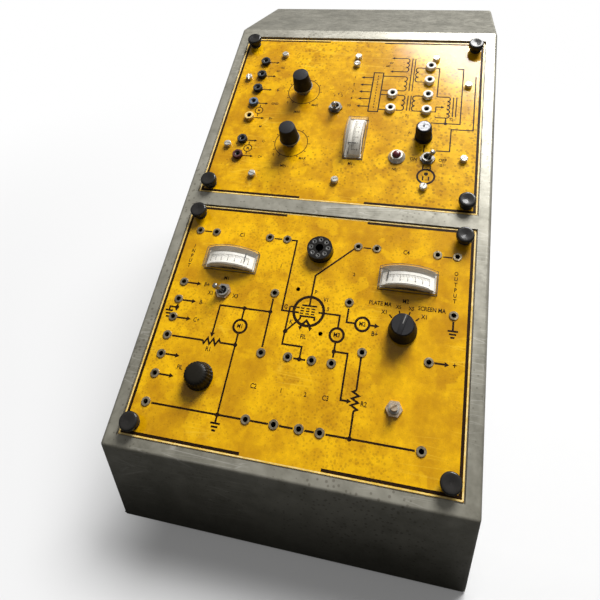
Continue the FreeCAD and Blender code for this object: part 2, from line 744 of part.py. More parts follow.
panel_plate("upper_panel", UPPER, [
    (fastener_places, barrel_radius), (dark_places + white_places, jack_barrel),
    (screw_places + [strap_place], screw_shank), (voltage_places, bushing_radius),
    (upper_switch_places, collar_tube), ([pilot_place], pilot_barrel), ([fuse_place], fuse_barrel),
], [(supply_meter_offset, supply_meter_row, meter_case_width, meter_case_length)])

# Raised jacks: moulded bushings of several colours, held by hexagon nuts under the panel.
jack = turned("raised_jack", [
    (jack_bore, -jack_depth), (jack_barrel, -jack_depth), (jack_barrel, 0), (jack_radius, 0),
    (jack_radius, jack_rise - jack_edge), (jack_radius - jack_edge, jack_rise), (jack_mouth, jack_rise),
    (jack_bore, jack_rise - jack_mouth_depth)])
copies("black_jacks", jack, UPPER, [dark_places[index] for index in (0, 1, 2, 5)])
copies("blue_jack", jack, UPPER, [dark_places[3]])
copies("yellow_jack", jack, UPPER, [dark_places[4]])
copies("maroon_jack", jack, UPPER, [dark_places[6]])
copies("white_jacks", jack, UPPER, white_places)


def hex_nut(name, flats, bore, height, base):
    body = new_body(name)
    sketch = hexagon(new_sketch(body, lift=base), flats)
    circle(sketch, 0, 0, bore + thread_gap)
    pad(sketch, height)
    return body


jack_nut_base = -panel_thickness - jack_nut_height
jack_nut = hex_nut("jack_nut", jack_nut_flats, jack_barrel, jack_nut_height, jack_nut_base)
copies("jack_nuts", jack_nut, UPPER, dark_places + white_places)

# Chassis tray: an open box with four out-turned flanges that the panel's screws clamp to the panel.
tray_length = (screw_side - tray_wall_inset) * 2
tray_width = screw_row_top - screw_row_base - tray_wall_inset * 2
tray_row = (screw_row_top + screw_row_base) / 2
tray = new_body("supply_chassis")
box = new_sketch(tray, lift=-panel_thickness - tray_depth)
rectangle(box, 0, tray_row, tray_length, tray_width)
pad(box, tray_depth)
flanges = new_sketch(tray, lift=-panel_thickness - tray_gauge)
rectangle(flanges, 0, tray_row, tray_length + tray_flange * 2, tray_width - tray_relief * 2)
pad(flanges, tray_gauge)
end_flanges = new_sketch(tray, lift=-panel_thickness - tray_gauge)
rectangle(end_flanges, 0, tray_row, tray_length - tray_relief * 2, tray_width + tray_flange * 2)
pad(end_flanges, tray_gauge)
inside = new_sketch(tray, lift=-panel_thickness)
rectangle(inside, 0, tray_row, tray_length - tray_gauge * 2, tray_width - tray_gauge * 2)
pocket(inside, tray_depth - tray_gauge)
tray_holes = new_sketch(tray, lift=-panel_thickness)
for u, v in screw_places:
    circle(tray_holes, u, v, screw_shank + thread_gap)
pocket(tray_holes, tray_gauge * 2)
place(tray, UPPER)
node("supply_chassis", tray)
chassis_screw = turned("chassis_screw", [
    (0, -screw_depth), (screw_shank, -screw_depth), (screw_shank, 0), (screw_radius, 0),
    (screw_radius, screw_rise - screw_edge), (screw_radius - screw_edge, screw_rise), (0, screw_rise)])
driver_slot = new_sketch(chassis_screw, lift=screw_rise)
rectangle(driver_slot, 0, 0, screw_radius * 3, screw_slot)
pocket(driver_slot, screw_slot_depth)
turned_places = [(u, v, screw_angle * turns) for turns, (u, v) in enumerate([strap_place] + screw_places)]
copies("chassis_screws", chassis_screw, UPPER, turned_places)


def rotary_control(name, radius, depth):
    """A round can behind the panel with a threaded bushing that its shaft turns in."""
    return turned(name, [
        (shaft_radius + running_gap, -panel_thickness - depth), (radius, -panel_thickness - depth),
        (radius, -panel_thickness), (bushing_radius, -panel_thickness), (bushing_radius, bushing_rise),
        (shaft_radius + running_gap, bushing_rise)])


def knob_shaft(name, depth, rise):
    return turned(name, [(0, -panel_thickness - depth), (shaft_radius, -panel_thickness - depth),
                         (shaft_radius, rise), (0, rise)])


def knob(name, base, waist, crown, rise, skirt=None):
    """A moulded knob, hollow underneath for the nut, bored for the shaft; a skirt flares round its foot."""
    foot = skirt if skirt else base
    points = [(knob_socket, knob_gap), (foot, knob_gap)]
    if skirt:
        points += [(skirt, waist - knob_edge), (base + knob_edge, waist)]
    points += [(base, waist), (crown, rise - knob_edge), (crown - knob_edge, rise), (0, rise),
               (0, rise - shaft_stop), (shaft_radius + running_gap, rise - shaft_stop),
               (shaft_radius + running_gap, knob_socket_rise), (knob_socket, knob_socket_rise)]
    return turned(name, points)


pot = rotary_control("voltage_control", pot_radius, pot_depth)
copies("voltage_controls", pot, UPPER, voltage_places)
control_nut = hex_nut("control_nut", control_nut_flats, bushing_radius, control_nut_height, 0)
switch_nut = hex_nut("switch_nut", switch_nut_flats, collar_tube, switch_nut_height, 0)


def panel_nuts(label, frame, controls, switches):
    """The bright nuts on the printed side, small ones on the controls and large ones on the switches."""
    links = []
    for master, places in ((control_nut, controls), (switch_nut, switches)):
        for u, v in places:
            link = DOC.addObject("App::Link", f"{label}_{len(links) + 1}")
            link.LinkedObject = master
            link.setExpression("Placement", placement(u, v, 0))
            links.append(link)
    group = DOC.addObject("Part::Compound", label)
    group.Links = links
    group.setExpression("Placement", f"{frame}.Placement")
    return node(label, group)


panel_nuts("upper_control_nuts", UPPER, voltage_places, upper_switch_places)
for label, (u, v) in zip(("upper_voltage_knob", "lower_voltage_knob"), voltage_places):
    grip = knob(label + "_grip", voltage_grip_base, voltage_skirt_top, voltage_grip_top, voltage_rise,
                voltage_skirt)
    shaft = knob_shaft(label + "_shaft", pot_depth, voltage_rise - shaft_stop)
    gather(label, [grip, shaft], UPPER, u, v)


def toggle_switch(name):
    """A moulded switch block with a threaded collar; a pin across the collar carries the lever."""
    body = new_body(name)
    block = new_sketch(body, lift=-panel_thickness - switch_depth)
    rectangle(block, 0, 0, switch_length, switch_width)
    pad(block, switch_depth)
    collar = circle(new_sketch(body, lift=-panel_thickness), 0, 0, collar_tube)
    pad(collar, panel_thickness + collar_tube_rise)
    well = circle(new_sketch(body, lift=collar_tube_rise), 0, 0, collar_tube_bore)
    pocket(well, collar_tube_rise + lever_well)
    pivot = circle(new_sketch(body, "XZ_Plane"), 0, pivot_height, pivot_radius)
    pad(pivot, collar_tube_bore + collar_tube, symmetric=True)
    return body


def toggle_lever(label, frame, u, v, plane, axis, lean):
    """A bat-handled lever bored across one plane for its pivot pin, leaning the way it stands."""
    body = turned(label, [
        (0, -lever_tail), (lever_root - lever_edge, -lever_tail), (lever_root, lever_edge - lever_tail),
        (lever_root, lever_waist), (lever_tip, lever_rise - lever_land),
        *rounded(lever_tip, lever_rise, lever_round), (0, lever_rise)])
    bore = circle(new_sketch(body, plane), 0, 0, pivot_radius + running_gap)
    pocket(bore, lever_root * 3, symmetric=True)
    place(body, frame, u, v, pivot_height, axis, lean)
    return node(label, body)


toggle = toggle_switch("toggle_switch")
output_switch, power_switch = upper_switch_places
copies("upper_switches", toggle, UPPER, [(*output_switch, quarter_turn), power_switch])
toggle_lever("output_lever", UPPER, *output_switch, "YZ_Plane", "1; 0; 0", lever_angle)
toggle_lever("power_lever", UPPER, *power_switch, "XZ_Plane", "0; 1; 0", lever_angle)

# Pilot lamp: a bright bezel on a lamp barrel, with a domed jewel in it.
pilot = turned("pilot_bezel", [
    (jewel_radius + thread_gap, -pilot_depth), (pilot_barrel, -pilot_depth), (pilot_barrel, 0),
    (pilot_flange, 0), (pilot_flange, pilot_flange_height),
    (pilot_flange - pilot_step, pilot_flange_height + pilot_step), (pilot_crown, pilot_rise),
    (jewel_radius + thread_gap, pilot_rise)])
place(pilot, UPPER, *pilot_place)
node("pilot_bezel", pilot)
jewel = turned("pilot_jewel", [
    (0, -jewel_seat), (jewel_radius, -jewel_seat), *rounded(jewel_radius, jewel_rise, jewel_round),
    (0, jewel_rise)])
place(jewel, UPPER, *pilot_place)
node("pilot_jewel", jewel)

# Fuse post: a long insulated barrel through the panel, closed by a cap that twists out.
fuse = turned("fuse_holder", [
    (0, -fuse_depth), (fuse_barrel, -fuse_depth), (fuse_barrel, 0), (fuse_collar, 0),
    (fuse_collar, fuse_collar_rise - small_edge), (fuse_collar - small_edge, fuse_collar_rise),
    (fuse_bore, fuse_collar_rise), (fuse_bore, fuse_floor - fuse_depth), (0, fuse_floor - fuse_depth)])
place(fuse, UPPER, *fuse_place)
node("fuse_holder", fuse)
cap_base = fuse_collar_rise + rest_gap
cap = turned("fuse_cap", [
    (0, -cap_stem), (fuse_bore - running_gap, -cap_stem), (fuse_bore - running_gap, cap_base),
    (cap_radius, cap_base), (cap_crown, cap_rise - knob_edge), (cap_crown - knob_edge, cap_rise),
    (0, cap_rise)])
place(cap, UPPER, *fuse_place)
node("fuse_cap", cap)


def meter_cover(name):
    """A clear arched cover, open underneath, standing on the panel."""
    body = new_body(name)
    pad(arch(new_sketch(body, "XZ_Plane"), meter_length, cover_radius, 0), meter_width, symmetric=True)
    hollow = new_sketch(body, "XZ_Plane")
    inner = arch(hollow, meter_length - cover_wall * 2, cover_radius - cover_wall, -cover_wall)
    pocket(inner, meter_width - cover_wall * 2, symmetric=True)
    return body


def meter_scale(name):
    """A scale plate bent to an arc about the pivot, with a straight leg at each end on the meter case."""
    body = new_body(name)
    length = meter_case_length - scale_gauge
    plate = arch(new_sketch(body, "XZ_Plane", -scale_shift), length, scale_radius, 0)
    pad(plate, scale_width, symmetric=True)
    inner = arch(new_sketch(body, "XZ_Plane", -scale_shift), length - scale_gauge * 2,
                 scale_radius - scale_gauge, -scale_gauge)
    pocket(inner, scale_width * 2, symmetric=True)
    return body


def meter_case(name):
    """A deep open box behind the panel with the pivot pin of the pointer across it."""
    body = new_body(name)
    block = rectangle(new_sketch(body, lift=-meter_case_depth), 0, 0, meter_case_length, meter_case_width)
    pad(block, meter_case_depth)
    inside = new_sketch(body)
    rectangle(inside, 0, 0, meter_case_length - meter_case_wall * 2, meter_case_width - meter_case_wall * 2)
    pocket(inside, meter_case_depth - meter_case_wall)
    pivot = circle(new_sketch(body, "XZ_Plane"), 0, -pivot_depth, meter_pin)
    pad(pivot, meter_case_width - meter_case_wall, symmetric=True)
    return body


def meter_needle(label, frame, u, v, turn, angle):
    """A pointer that swings on the pin beside the scale and reaches over its face with a bent tip."""
    body = new_body(label)
    hub = circle(new_sketch(body, "XZ_Plane", -needle_shift), 0, 0, needle_hub)
    circle(hub, 0, 0, meter_pin + running_gap)
    pad(hub, needle_hub_width, symmetric=True)
    arm = new_sketch(body, "XZ_Plane", -needle_shift)
    reach = needle_tip_radius + needle_tip_gauge
    start = meter_pin + running_gap * 4
    rectangle(arm, 0, (start + reach) / 2, needle_arm, reach - start)
    pad(arm, needle_gauge, symmetric=True)
    tip = new_sketch(body, lift=needle_tip_radius)
    rectangle(tip, 0, needle_shift - needle_tip_length / 2, needle_arm, needle_tip_length)
    pad(tip, needle_tip_gauge)
    body.setExpression("Placement", f"{frame}.Placement * " + placement(u, v, 0, "0; 0; 1", turn) + " * "
                       + placement(0, 0, -pivot_depth, "0; 1; 0", angle))
    return node(label, body)


cover = meter_cover("meter_cover")
scale = meter_scale("meter_scale")
housing = meter_case("meter_case")
supply_pieces = [("supply_meter_case", housing), ("supply_meter_cover", cover), ("supply_meter_scale", scale)]
for label, master in supply_pieces:
    link = DOC.addObject("App::Link", label + "_link")
    link.LinkedObject = master
    gather(label, [link], UPPER, supply_meter_offset, supply_meter_row, quarter_turn)
meter_needle("supply_needle", UPPER, supply_meter_offset, supply_meter_row, quarter_turn,
             supply_needle_angle)
meter_places = [(-meter_offset, meter_row), (meter_offset, meter_row)]
copies("lower_meter_cases", housing, LOWER, meter_places)
copies("lower_meter_covers", cover, LOWER, meter_places)
copies("lower_meter_scales", scale, LOWER, meter_places)
meter_needle("left_needle", LOWER, -meter_offset, meter_row, 0, left_needle_angle)
meter_needle("right_needle", LOWER, meter_offset, meter_row, 0, right_needle_angle)

# Transformer and filter capacitors hang under the floor of the chassis tray.
tray_floor = -panel_thickness - tray_depth
core = new_body("transformer_core")
lamination = new_sketch(core, "XZ_Plane")
core_middle = tray_floor - core_height / 2
window_height = core_height - core_limb
window_u = (core_limb + core_window) / 2
rectangle(lamination, 0, core_middle, core_length, core_height)
rectangle(lamination, -window_u, core_middle, core_window, window_height)
rectangle(lamination, window_u, core_middle, core_window, window_height)
pad(lamination, core_stack, symmetric=True)
place(core, UPPER, core_side, core_row)
node("transformer_core", core)
coil = new_body("transformer_coil")
coil_height = window_height - coil_clearance * 2
winding = new_sketch(coil, lift=core_middle - coil_height / 2)
rectangle(winding, 0, 0, core_limb + core_window * 2 - coil_clearance * 2, core_stack + coil_overhang * 2)
rectangle(winding, 0, 0, core_limb + coil_clearance * 2, core_stack + coil_clearance * 2)
pad(winding, coil_height)
place(coil, UPPER, core_side, core_row)
node("transformer_coil", coil)
can_base = tray_floor - can_height
crimp = tray_floor - can_crimp_height
filter_can = turned("filter_can", [
    (0, can_base), (can_radius - can_edge, can_base), (can_radius, can_base + can_edge),
    (can_radius, crimp - can_crimp), (can_radius - can_crimp, crimp), (can_radius, crimp + can_crimp),
    (can_radius, tray_floor), (0, tray_floor)])
can_places = [(can_side - can_pitch * index, can_row) for index in range(3)]
copies("filter_capacitors", filter_can, UPPER, can_places)

# Lower panel: rows and columns of flush jacks about its middle.
top_columns = [ring_offset, ring_offset - ring_pitch, ring_inner_offset + ring_pitch, ring_inner_offset]
ring_places = [(column * side, ring_row) for side in (-1, 1) for column in top_columns]
ring_places += [(-ring_offset, ring_middle_row - ring_pitch * index) for index in range(6)]
ring_places += [(-ring_offset, -ring_row)]
ring_places += [(column, ring_middle_row) for column in (-ring_inner_offset, ring_inner_offset, ring_offset)]
ring_places += [(column, ring_output_row) for column in (top_columns[2], top_columns[1])]
foot_columns = (-ring_inner_offset, -ring_cathode_offset, ring_cathode_offset, ring_screen_offset)
ring_places += [(column, row) for row in (-ring_middle_row, -ring_row) for column in foot_columns]
ring_places += [(top_columns[1], -ring_row)]
shield_places = [(-shield_hole_side, shield_hole_row + shield_hole_rise),
                 (shield_hole_side, shield_hole_row - shield_hole_rise)]
socket_place = (0, socket_row)
selector_place = (control_offset, selector_row)
resistor_places = [(-control_offset, resistor_row), (control_offset, resistor_row)]
grid_switch_place = (-control_offset, grid_switch_row)
panel_plate("lower_panel", LOWER, [
    (fastener_places, barrel_radius), (ring_places, ring_barrel), (shield_places, shield_hole_radius),
    ([socket_place], socket_radius), (resistor_places + [selector_place], bushing_radius),
    ([grid_switch_place], collar_tube),
], [(u, v, meter_case_length, meter_case_width) for u, v in meter_places])
panel_jack = turned("panel_jack", [
    (ring_bore, -ring_depth), (ring_barrel, -ring_depth), (ring_barrel, -panel_thickness - ring_nut_height),
    (ring_nut_radius, -panel_thickness - ring_nut_height), (ring_nut_radius, -panel_thickness),
    (ring_barrel, -panel_thickness), (ring_barrel, 0), (ring_radius, 0), (ring_radius - ring_edge, ring_rise),
    (ring_bore, ring_rise)])
copies("panel_jacks", panel_jack, LOWER, ring_places)

# Octal tube socket: eight pin holes on a circle and a keyed hole in the middle, flanged behind the panel.
socket = new_body("tube_socket")
pad(circle(new_sketch(socket, lift=-panel_thickness - socket_depth), 0, 0, socket_radius),
    panel_thickness + socket_depth + socket_rise)
pad(circle(new_sketch(socket, lift=-panel_thickness - socket_flange_height), 0, 0, socket_flange),
    socket_flange_height)
first_pin = circle(new_sketch(socket, lift=socket_rise), 0, socket_pin_circle, socket_pin_bore)
pin_hole = pocket(first_pin, socket_pin_depth)
pins = socket.newObject("PartDesign::PolarPattern", "socket_pins")
pins.Originals = [pin_hole]
pins.Axis = (first_pin, ["N_Axis"])
pins.Angle = 360
pins.Occurrences = 8
socket.Tip = pins
DOC.recompute()
key_hole = circle(new_sketch(socket, lift=socket_rise), 0, 0, socket_key_bore)
pocket(key_hole, socket_pin_depth)
key_slot = new_sketch(socket, lift=socket_rise)
rectangle(key_slot, 0, -socket_key_bore, socket_key_width, socket_key_reach * 2)
pocket(key_slot, socket_pin_depth)
place(socket, LOWER, *socket_place)
node("tube_socket", socket)

# Controls of the lower panel.
grid_switch = DOC.addObject("App::Link", "grid_switch_link")
grid_switch.LinkedObject = toggle
gather("grid_switch", [grid_switch], LOWER, *grid_switch_place)
toggle_lever("grid_lever", LOWER, *grid_switch_place, "XZ_Plane", "0; 1; 0", -lever_angle)
copies("lower_controls", pot, LOWER, resistor_places)
wafer_switch = rotary_control("selector_switch", selector_can, selector_depth)
place(wafer_switch, LOWER, *selector_place)
node("selector_switch", wafer_switch)
panel_nuts("lower_control_nuts", LOWER, resistor_places + [selector_place], [grid_switch_place])
selector_grip = knob("selector_grip", selector_base, knob_waist, selector_top, selector_rise)
mark = new_sketch(selector_grip, lift=selector_rise)
rectangle(mark, 0, selector_top / 2, pointer_groove, selector_top)
pocket(mark, pointer_groove_depth)
selector_shaft = knob_shaft("selector_shaft", selector_depth, selector_rise - shaft_stop)
gather("selector_knob", [selector_grip, selector_shaft], LOWER, *selector_place, selector_angle)
grid_grip = knob("grid_grip", fluted_radius, knob_waist, fluted_radius - knob_edge, fluted_rise)
flute = circle(new_sketch(grid_grip, lift=fluted_rise), 0, fluted_radius + flute_radius / 2, flute_radius)
flute_cut = pocket(flute, fluted_rise)
flutes = grid_grip.newObject("PartDesign::PolarPattern", "grid_flutes")
flutes.Originals = [flute_cut]
flutes.Axis = (flute, ["N_Axis"])
flutes.Angle = 360
flutes.Occurrences = 12
grid_grip.Tip = flutes
DOC.recompute()
grid_shaft = knob_shaft("grid_shaft", pot_depth, fluted_rise - shaft_stop)
gather("grid_knob", [grid_grip, grid_shaft], LOWER, *resistor_places[0])
screen_shaft = knob_shaft("screen_shaft", pot_depth, screen_shaft_rise)
slot = new_sketch(screen_shaft, lift=screen_shaft_rise)
rectangle(slot, 0, 0, shaft_radius * 3, screen_slot)
pocket(slot, screen_slot_depth)
place(screen_shaft, LOWER, *resistor_places[1], 0, "0; 0; 1", screen_angle)
node("screen_shaft", screen_shaft)

# Every piece has to be sound before any is written.
DOC.recompute()
broken = [item.Label for item in DOC.Objects if {"Invalid", "Error"} & set(item.State)]
broken += [label for label, thing in NODES.items() if thing.Shape.isNull() or not thing.Shape.isValid()]
if broken:
    raise RuntimeError("unsound pieces: " + ", ".join(broken))
os.makedirs("parts", exist_ok=True)
for label, thing in NODES.items():
    thing.Shape.exportStep(f"parts/{label}.step")
print(len(NODES), "nodes", sum(len(thing.Shape.Solids) for thing in NODES.values()), "solids")
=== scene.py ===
import json
import math

import bmesh
import bpy
from mathutils import Matrix, Vector


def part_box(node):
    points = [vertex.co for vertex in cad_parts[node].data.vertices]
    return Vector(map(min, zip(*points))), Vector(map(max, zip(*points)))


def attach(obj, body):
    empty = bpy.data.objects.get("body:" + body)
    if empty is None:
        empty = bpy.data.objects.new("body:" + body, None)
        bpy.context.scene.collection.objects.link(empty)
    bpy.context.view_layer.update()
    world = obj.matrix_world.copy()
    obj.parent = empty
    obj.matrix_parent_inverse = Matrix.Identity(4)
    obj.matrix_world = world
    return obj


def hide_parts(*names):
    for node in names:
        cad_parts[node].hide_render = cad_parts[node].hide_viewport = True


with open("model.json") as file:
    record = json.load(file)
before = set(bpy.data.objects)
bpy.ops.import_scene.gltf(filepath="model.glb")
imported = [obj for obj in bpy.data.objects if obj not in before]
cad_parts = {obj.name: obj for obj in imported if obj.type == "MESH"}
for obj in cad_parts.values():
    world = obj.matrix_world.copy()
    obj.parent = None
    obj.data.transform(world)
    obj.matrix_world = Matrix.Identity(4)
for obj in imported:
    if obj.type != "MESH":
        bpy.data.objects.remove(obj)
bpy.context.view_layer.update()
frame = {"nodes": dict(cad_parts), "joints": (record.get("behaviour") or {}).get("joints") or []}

# The camera stands before the console, a little to its right, and looks down on the sloping face.
# The picture is cut from the lower part of a wider one, so the lens is shifted down.
scene = bpy.context.scene
camera = bpy.data.objects.new("camera", bpy.data.cameras.new("camera"))
scene.collection.objects.link(camera)
scene.camera = camera
camera.location = (0.1045, -0.5612, 0.5217)
camera.rotation_euler = [math.radians(angle) for angle in (59.157, 1.809, 13.360)]
camera.data.lens = 31.93
camera.data.shift_x = -0.0204
camera.data.shift_y = -0.1356
camera.data.clip_start = 0.01
scene.view_settings.view_transform = "Standard"


# The case is one welded box of grey sheet steel with folded edges, standing on rubber feet. Its bare
# skin has gone dull and blotchy, with fine handling scratches and bright rubbed places.
def add_node(tree, kind, sockets=None, **settings):
    """Add one shader node, with its settings, and join or set its sockets."""
    made = tree.nodes.new("ShaderNode" + kind)
    for name, value in settings.items():
        setattr(made, name, value)
    for name, value in (sockets or {}).items():
        if isinstance(value, bpy.types.NodeSocket):
            tree.links.new(value, made.inputs[name])
        else:
            made.inputs[name].default_value = value
    return made


def new_group(name, **inputs):
    """Start a shader group with named inputs and one mask, and hand back its tree and its two end nodes."""
    tree = bpy.data.node_groups.new(name, "ShaderNodeTree")
    for label, value in inputs.items():
        tree.interface.new_socket(label, in_out="INPUT", socket_type="NodeSocketFloat").default_value = value
    tree.interface.new_socket("Mask", in_out="OUTPUT", socket_type="NodeSocketFloat")
    return tree, tree.nodes.new("NodeGroupInput"), tree.nodes.new("NodeGroupOutput")


def combine(tree, operation, first, second):
    """Two values put together by one sum, such as MULTIPLY or MAXIMUM."""
    return add_node(tree, "Math", {0: first, 1: second}, operation=operation).outputs[0]


def coordinate(tree, kind, axis):
    """One axis of a texture coordinate."""
    return add_node(tree, "SeparateXYZ", {0: add_node(tree, "TexCoord").outputs[kind]}).outputs[axis]


def threshold(tree, value, low, high):
    """A mask that rises from 0 to 1 as a value goes from low to high."""
    ramp = add_node(tree, "MapRange", {"Value": value, "From Min": low, "From Max": high})
    ramp.interpolation_type = "SMOOTHSTEP"
    return ramp.outputs["Result"]


def blend_value(tree, mask, low, high):
    """Turn a mask into a value between two limits."""
    return add_node(tree, "MapRange", {"Value": mask, "To Min": low, "To Max": high}).outputs["Result"]


def blotches_group():
    """Soft cloudy patches of two sizes, from 0 to 1."""
    tree, start, end = new_group("blotches", Scale=20.0)
    place = add_node(tree, "TexCoord").outputs["Object"]
    large = add_node(tree, "TexNoise", {"Vector": place, "Scale": start.outputs["Scale"], "Detail": 4.0,
                                        "Roughness": 0.6})
    finer = combine(tree, "MULTIPLY", start.outputs["Scale"], 5.3)
    small = add_node(tree, "TexNoise", {"Vector": place, "Scale": finer, "Detail": 3.0})
    both = combine(tree, "ADD", large.outputs["Fac"], small.outputs["Fac"])
    tree.links.new(threshold(tree, both, 0.72, 1.28), end.inputs["Mask"])
    return tree


def scratches_group():
    """Thin straight scratches in two crossing directions, broken up by a slow noise."""
    tree, start, end = new_group("scratches", Scale=40.0, Reach=0.5)
    place = add_node(tree, "TexCoord").outputs["Object"]
    gate = add_node(tree, "TexNoise", {"Vector": place, "Scale": 14.0, "Detail": 2.0})
    directions = []
    for angle, stretch in ((0.5, 14.0), (-0.9, 9.0)):
        turned = add_node(tree, "Mapping", {"Vector": place, "Rotation": (0.2, 0.35, angle),
                                            "Scale": (1.0, stretch, stretch)})
        lines = add_node(tree, "TexVoronoi", {"Vector": turned.outputs[0], "Scale": start.outputs["Scale"]},
                         feature="DISTANCE_TO_EDGE")
        directions.append(threshold(tree, lines.outputs["Distance"], 0.02, 0.0))
    low = combine(tree, "SUBTRACT", 1.0, start.outputs["Reach"])
    shown = threshold(tree, gate.outputs["Fac"], low, combine(tree, "ADD", low, 0.12))
    crossed = combine(tree, "MAXIMUM", *directions)
    tree.links.new(combine(tree, "MULTIPLY", crossed, shown), end.inputs["Mask"])
    return tree


def specks_group():
    """Small round specks of dirt, thick in some places and thin in others."""
    tree, start, end = new_group("specks", Scale=300.0, Amount=0.5)
    place = add_node(tree, "TexCoord").outputs["Object"]
    cells = add_node(tree, "TexVoronoi", {"Vector": place, "Scale": start.outputs["Scale"]})
    patch = add_node(tree, "TexNoise", {"Vector": place, "Scale": 9.0, "Detail": 3.0})
    thick = blend_value(tree, threshold(tree, patch.outputs["Fac"], 0.36, 0.66), 0.3, 0.78)
    size = combine(tree, "MULTIPLY", thick, start.outputs["Amount"])
    gap = combine(tree, "SUBTRACT", size, cells.outputs["Distance"])
    tree.links.new(threshold(tree, gap, 0.0, 0.12), end.inputs["Mask"])
    return tree


BLOTCHES = blotches_group()
SCRATCHES = scratches_group()
SPECKS = specks_group()


def effect(tree, group, **values):
    """Place one of the shared groups in a material and hand back its mask."""
    made = tree.nodes.new("ShaderNodeGroup")
    made.node_tree = group
    for name, value in values.items():
        made.inputs[name].default_value = value
    return made.outputs["Mask"]


def blend_colour(tree, mask, below, above, share=1.0):
    """Lay one colour over another where a mask is bright."""
    if share != 1.0:
        mask = combine(tree, "MULTIPLY", mask, share)
    mix = add_node(tree, "Mix", data_type="RGBA")
    for socket, value in ((mix.inputs[0], mask), (mix.inputs[6], below), (mix.inputs[7], above)):
        if isinstance(value, bpy.types.NodeSocket):
            tree.links.new(value, socket)
        else:
            socket.default_value = (*value, 1.0)
    return mix.outputs[2]


def new_material(name, **sockets):
    """A material with its Principled shader; plain values go straight on the shader's sockets."""
    material = bpy.data.materials.new(name)
    material.use_nodes = True
    tree = material.node_tree
    shader = tree.nodes["Principled BSDF"]
    for label, value in sockets.items():
        shader.inputs[label.replace("_", " ").title().replace("Ior", "IOR")].default_value = value
    return material, tree, shader


def bump(tree, shader, height, distance):
    """Raise and sink the surface a little, by a mask, over a distance in metres."""
    made = add_node(tree, "Bump", {"Height": height, "Distance": distance})
    tree.links.new(made.outputs["Normal"], shader.inputs["Normal"])


RUST = (0.09, 0.075, 0.055)
SETTLED_DUST = (0.11, 0.105, 0.085)
# The colour laid over the lowest part of the walls is painted shade, darkening them towards the floor.
FLOOR_SHADE = (0.045, 0.042, 0.03)
FLOOR_SHADE_HEIGHT = 0.115


def sheet_steel(name, dark, pale, worn, metal):
    """Dull blotchy sheet steel with rust specks, bright scratches, dust on top, and painted shade that
    darkens it towards the floor.
    """
    material, tree, shader = new_material(name, metallic=metal)
    base = blend_colour(tree, effect(tree, BLOTCHES, Scale=11.0), dark, pale)
    fine = blend_colour(tree, effect(tree, BLOTCHES, Scale=70.0), base, pale, 0.35)
    rusty = blend_colour(tree, effect(tree, SPECKS, Scale=210.0, Amount=0.42), fine, RUST, 0.5)
    rubbed = blend_colour(tree, effect(tree, SCRATCHES, Scale=9.0, Reach=0.52), rusty, worn, 0.4)
    level = threshold(tree, coordinate(tree, "Normal", "Z"), 0.92, 0.99)
    dusty = blend_colour(tree, level, rubbed, SETTLED_DUST, 0.6)
    # Painted shade: the walls darken over their lowest part, towards the floor.
    low = threshold(tree, coordinate(tree, "Object", "Z"), FLOOR_SHADE_HEIGHT, 0.0)
    tree.links.new(blend_colour(tree, low, dusty, FLOOR_SHADE, 0.75), shader.inputs["Base Color"])
    rough = effect(tree, BLOTCHES, Scale=34.0)
    tree.links.new(blend_value(tree, rough, 0.3, 0.48), shader.inputs["Roughness"])
    bump(tree, shader, rough, 0.00004)
    return material


MM = 0.001
WELD_GAP = 0.002
CREASE = 32


def dress(material, *names):
    """Give CAD nodes their finish and smooth their round faces, keeping edges sharper than the crease."""
    for name in names:
        piece = frame["nodes"][name]
        piece.data.materials.clear()
        piece.data.materials.append(material)
        for face in piece.data.polygons:
            face.use_smooth = True
        weld = piece.modifiers.new("weld", "WELD")
        weld.merge_threshold = WELD_GAP * MM
        split = piece.modifiers.new("crease", "EDGE_SPLIT")
        split.split_angle = math.radians(CREASE)


case_steel = sheet_steel("case_steel", (0.20, 0.19, 0.15), (0.325, 0.31, 0.255), (0.58, 0.56, 0.5), 0.4)
inner_steel = sheet_steel("inner_steel", (0.26, 0.25, 0.22), (0.34, 0.33, 0.30), (0.55, 0.54, 0.5), 0.55)
dress(case_steel, "case_shell", "upper_bay_frame", "lower_bay_frame")
dress(inner_steel, "bottom_plate", "supply_chassis")

# The feet are low moulded rubber buttons under the bottom plate. The ring that lines the cord hole in the
# back wall is of the same rubber, snapped into the sheet.
rubber, tree, shader = new_material("foot_rubber", roughness=0.85)
worn_rubber = effect(tree, BLOTCHES, Scale=120.0)
tree.links.new(blend_colour(tree, worn_rubber, (0.012, 0.012, 0.012), (0.035, 0.034, 0.032)),
               shader.inputs["Base Color"])
bump(tree, shader, worn_rubber, 0.0001)
dress(rubber, "rubber_feet", "cord_grommet")


# The two panels are aluminium plates sprayed golden yellow. The enamel has gone uneven, with brighter
# patches where it is less faded, brown grime, and scratches through to a paler coat.
DULL_YELLOW, CLEAN_YELLOW, BRIGHT_YELLOW = (0.50, 0.242, 0.001), (0.82, 0.46, 0.001), (0.90, 0.53, 0.001)
BROWN_GRIME, FINE_GRIME, SPECK_BROWN = (0.36, 0.155, 0.001), (0.30, 0.12, 0.001), (0.17, 0.07, 0.002)
UNDERCOAT = (0.93, 0.62, 0.05)


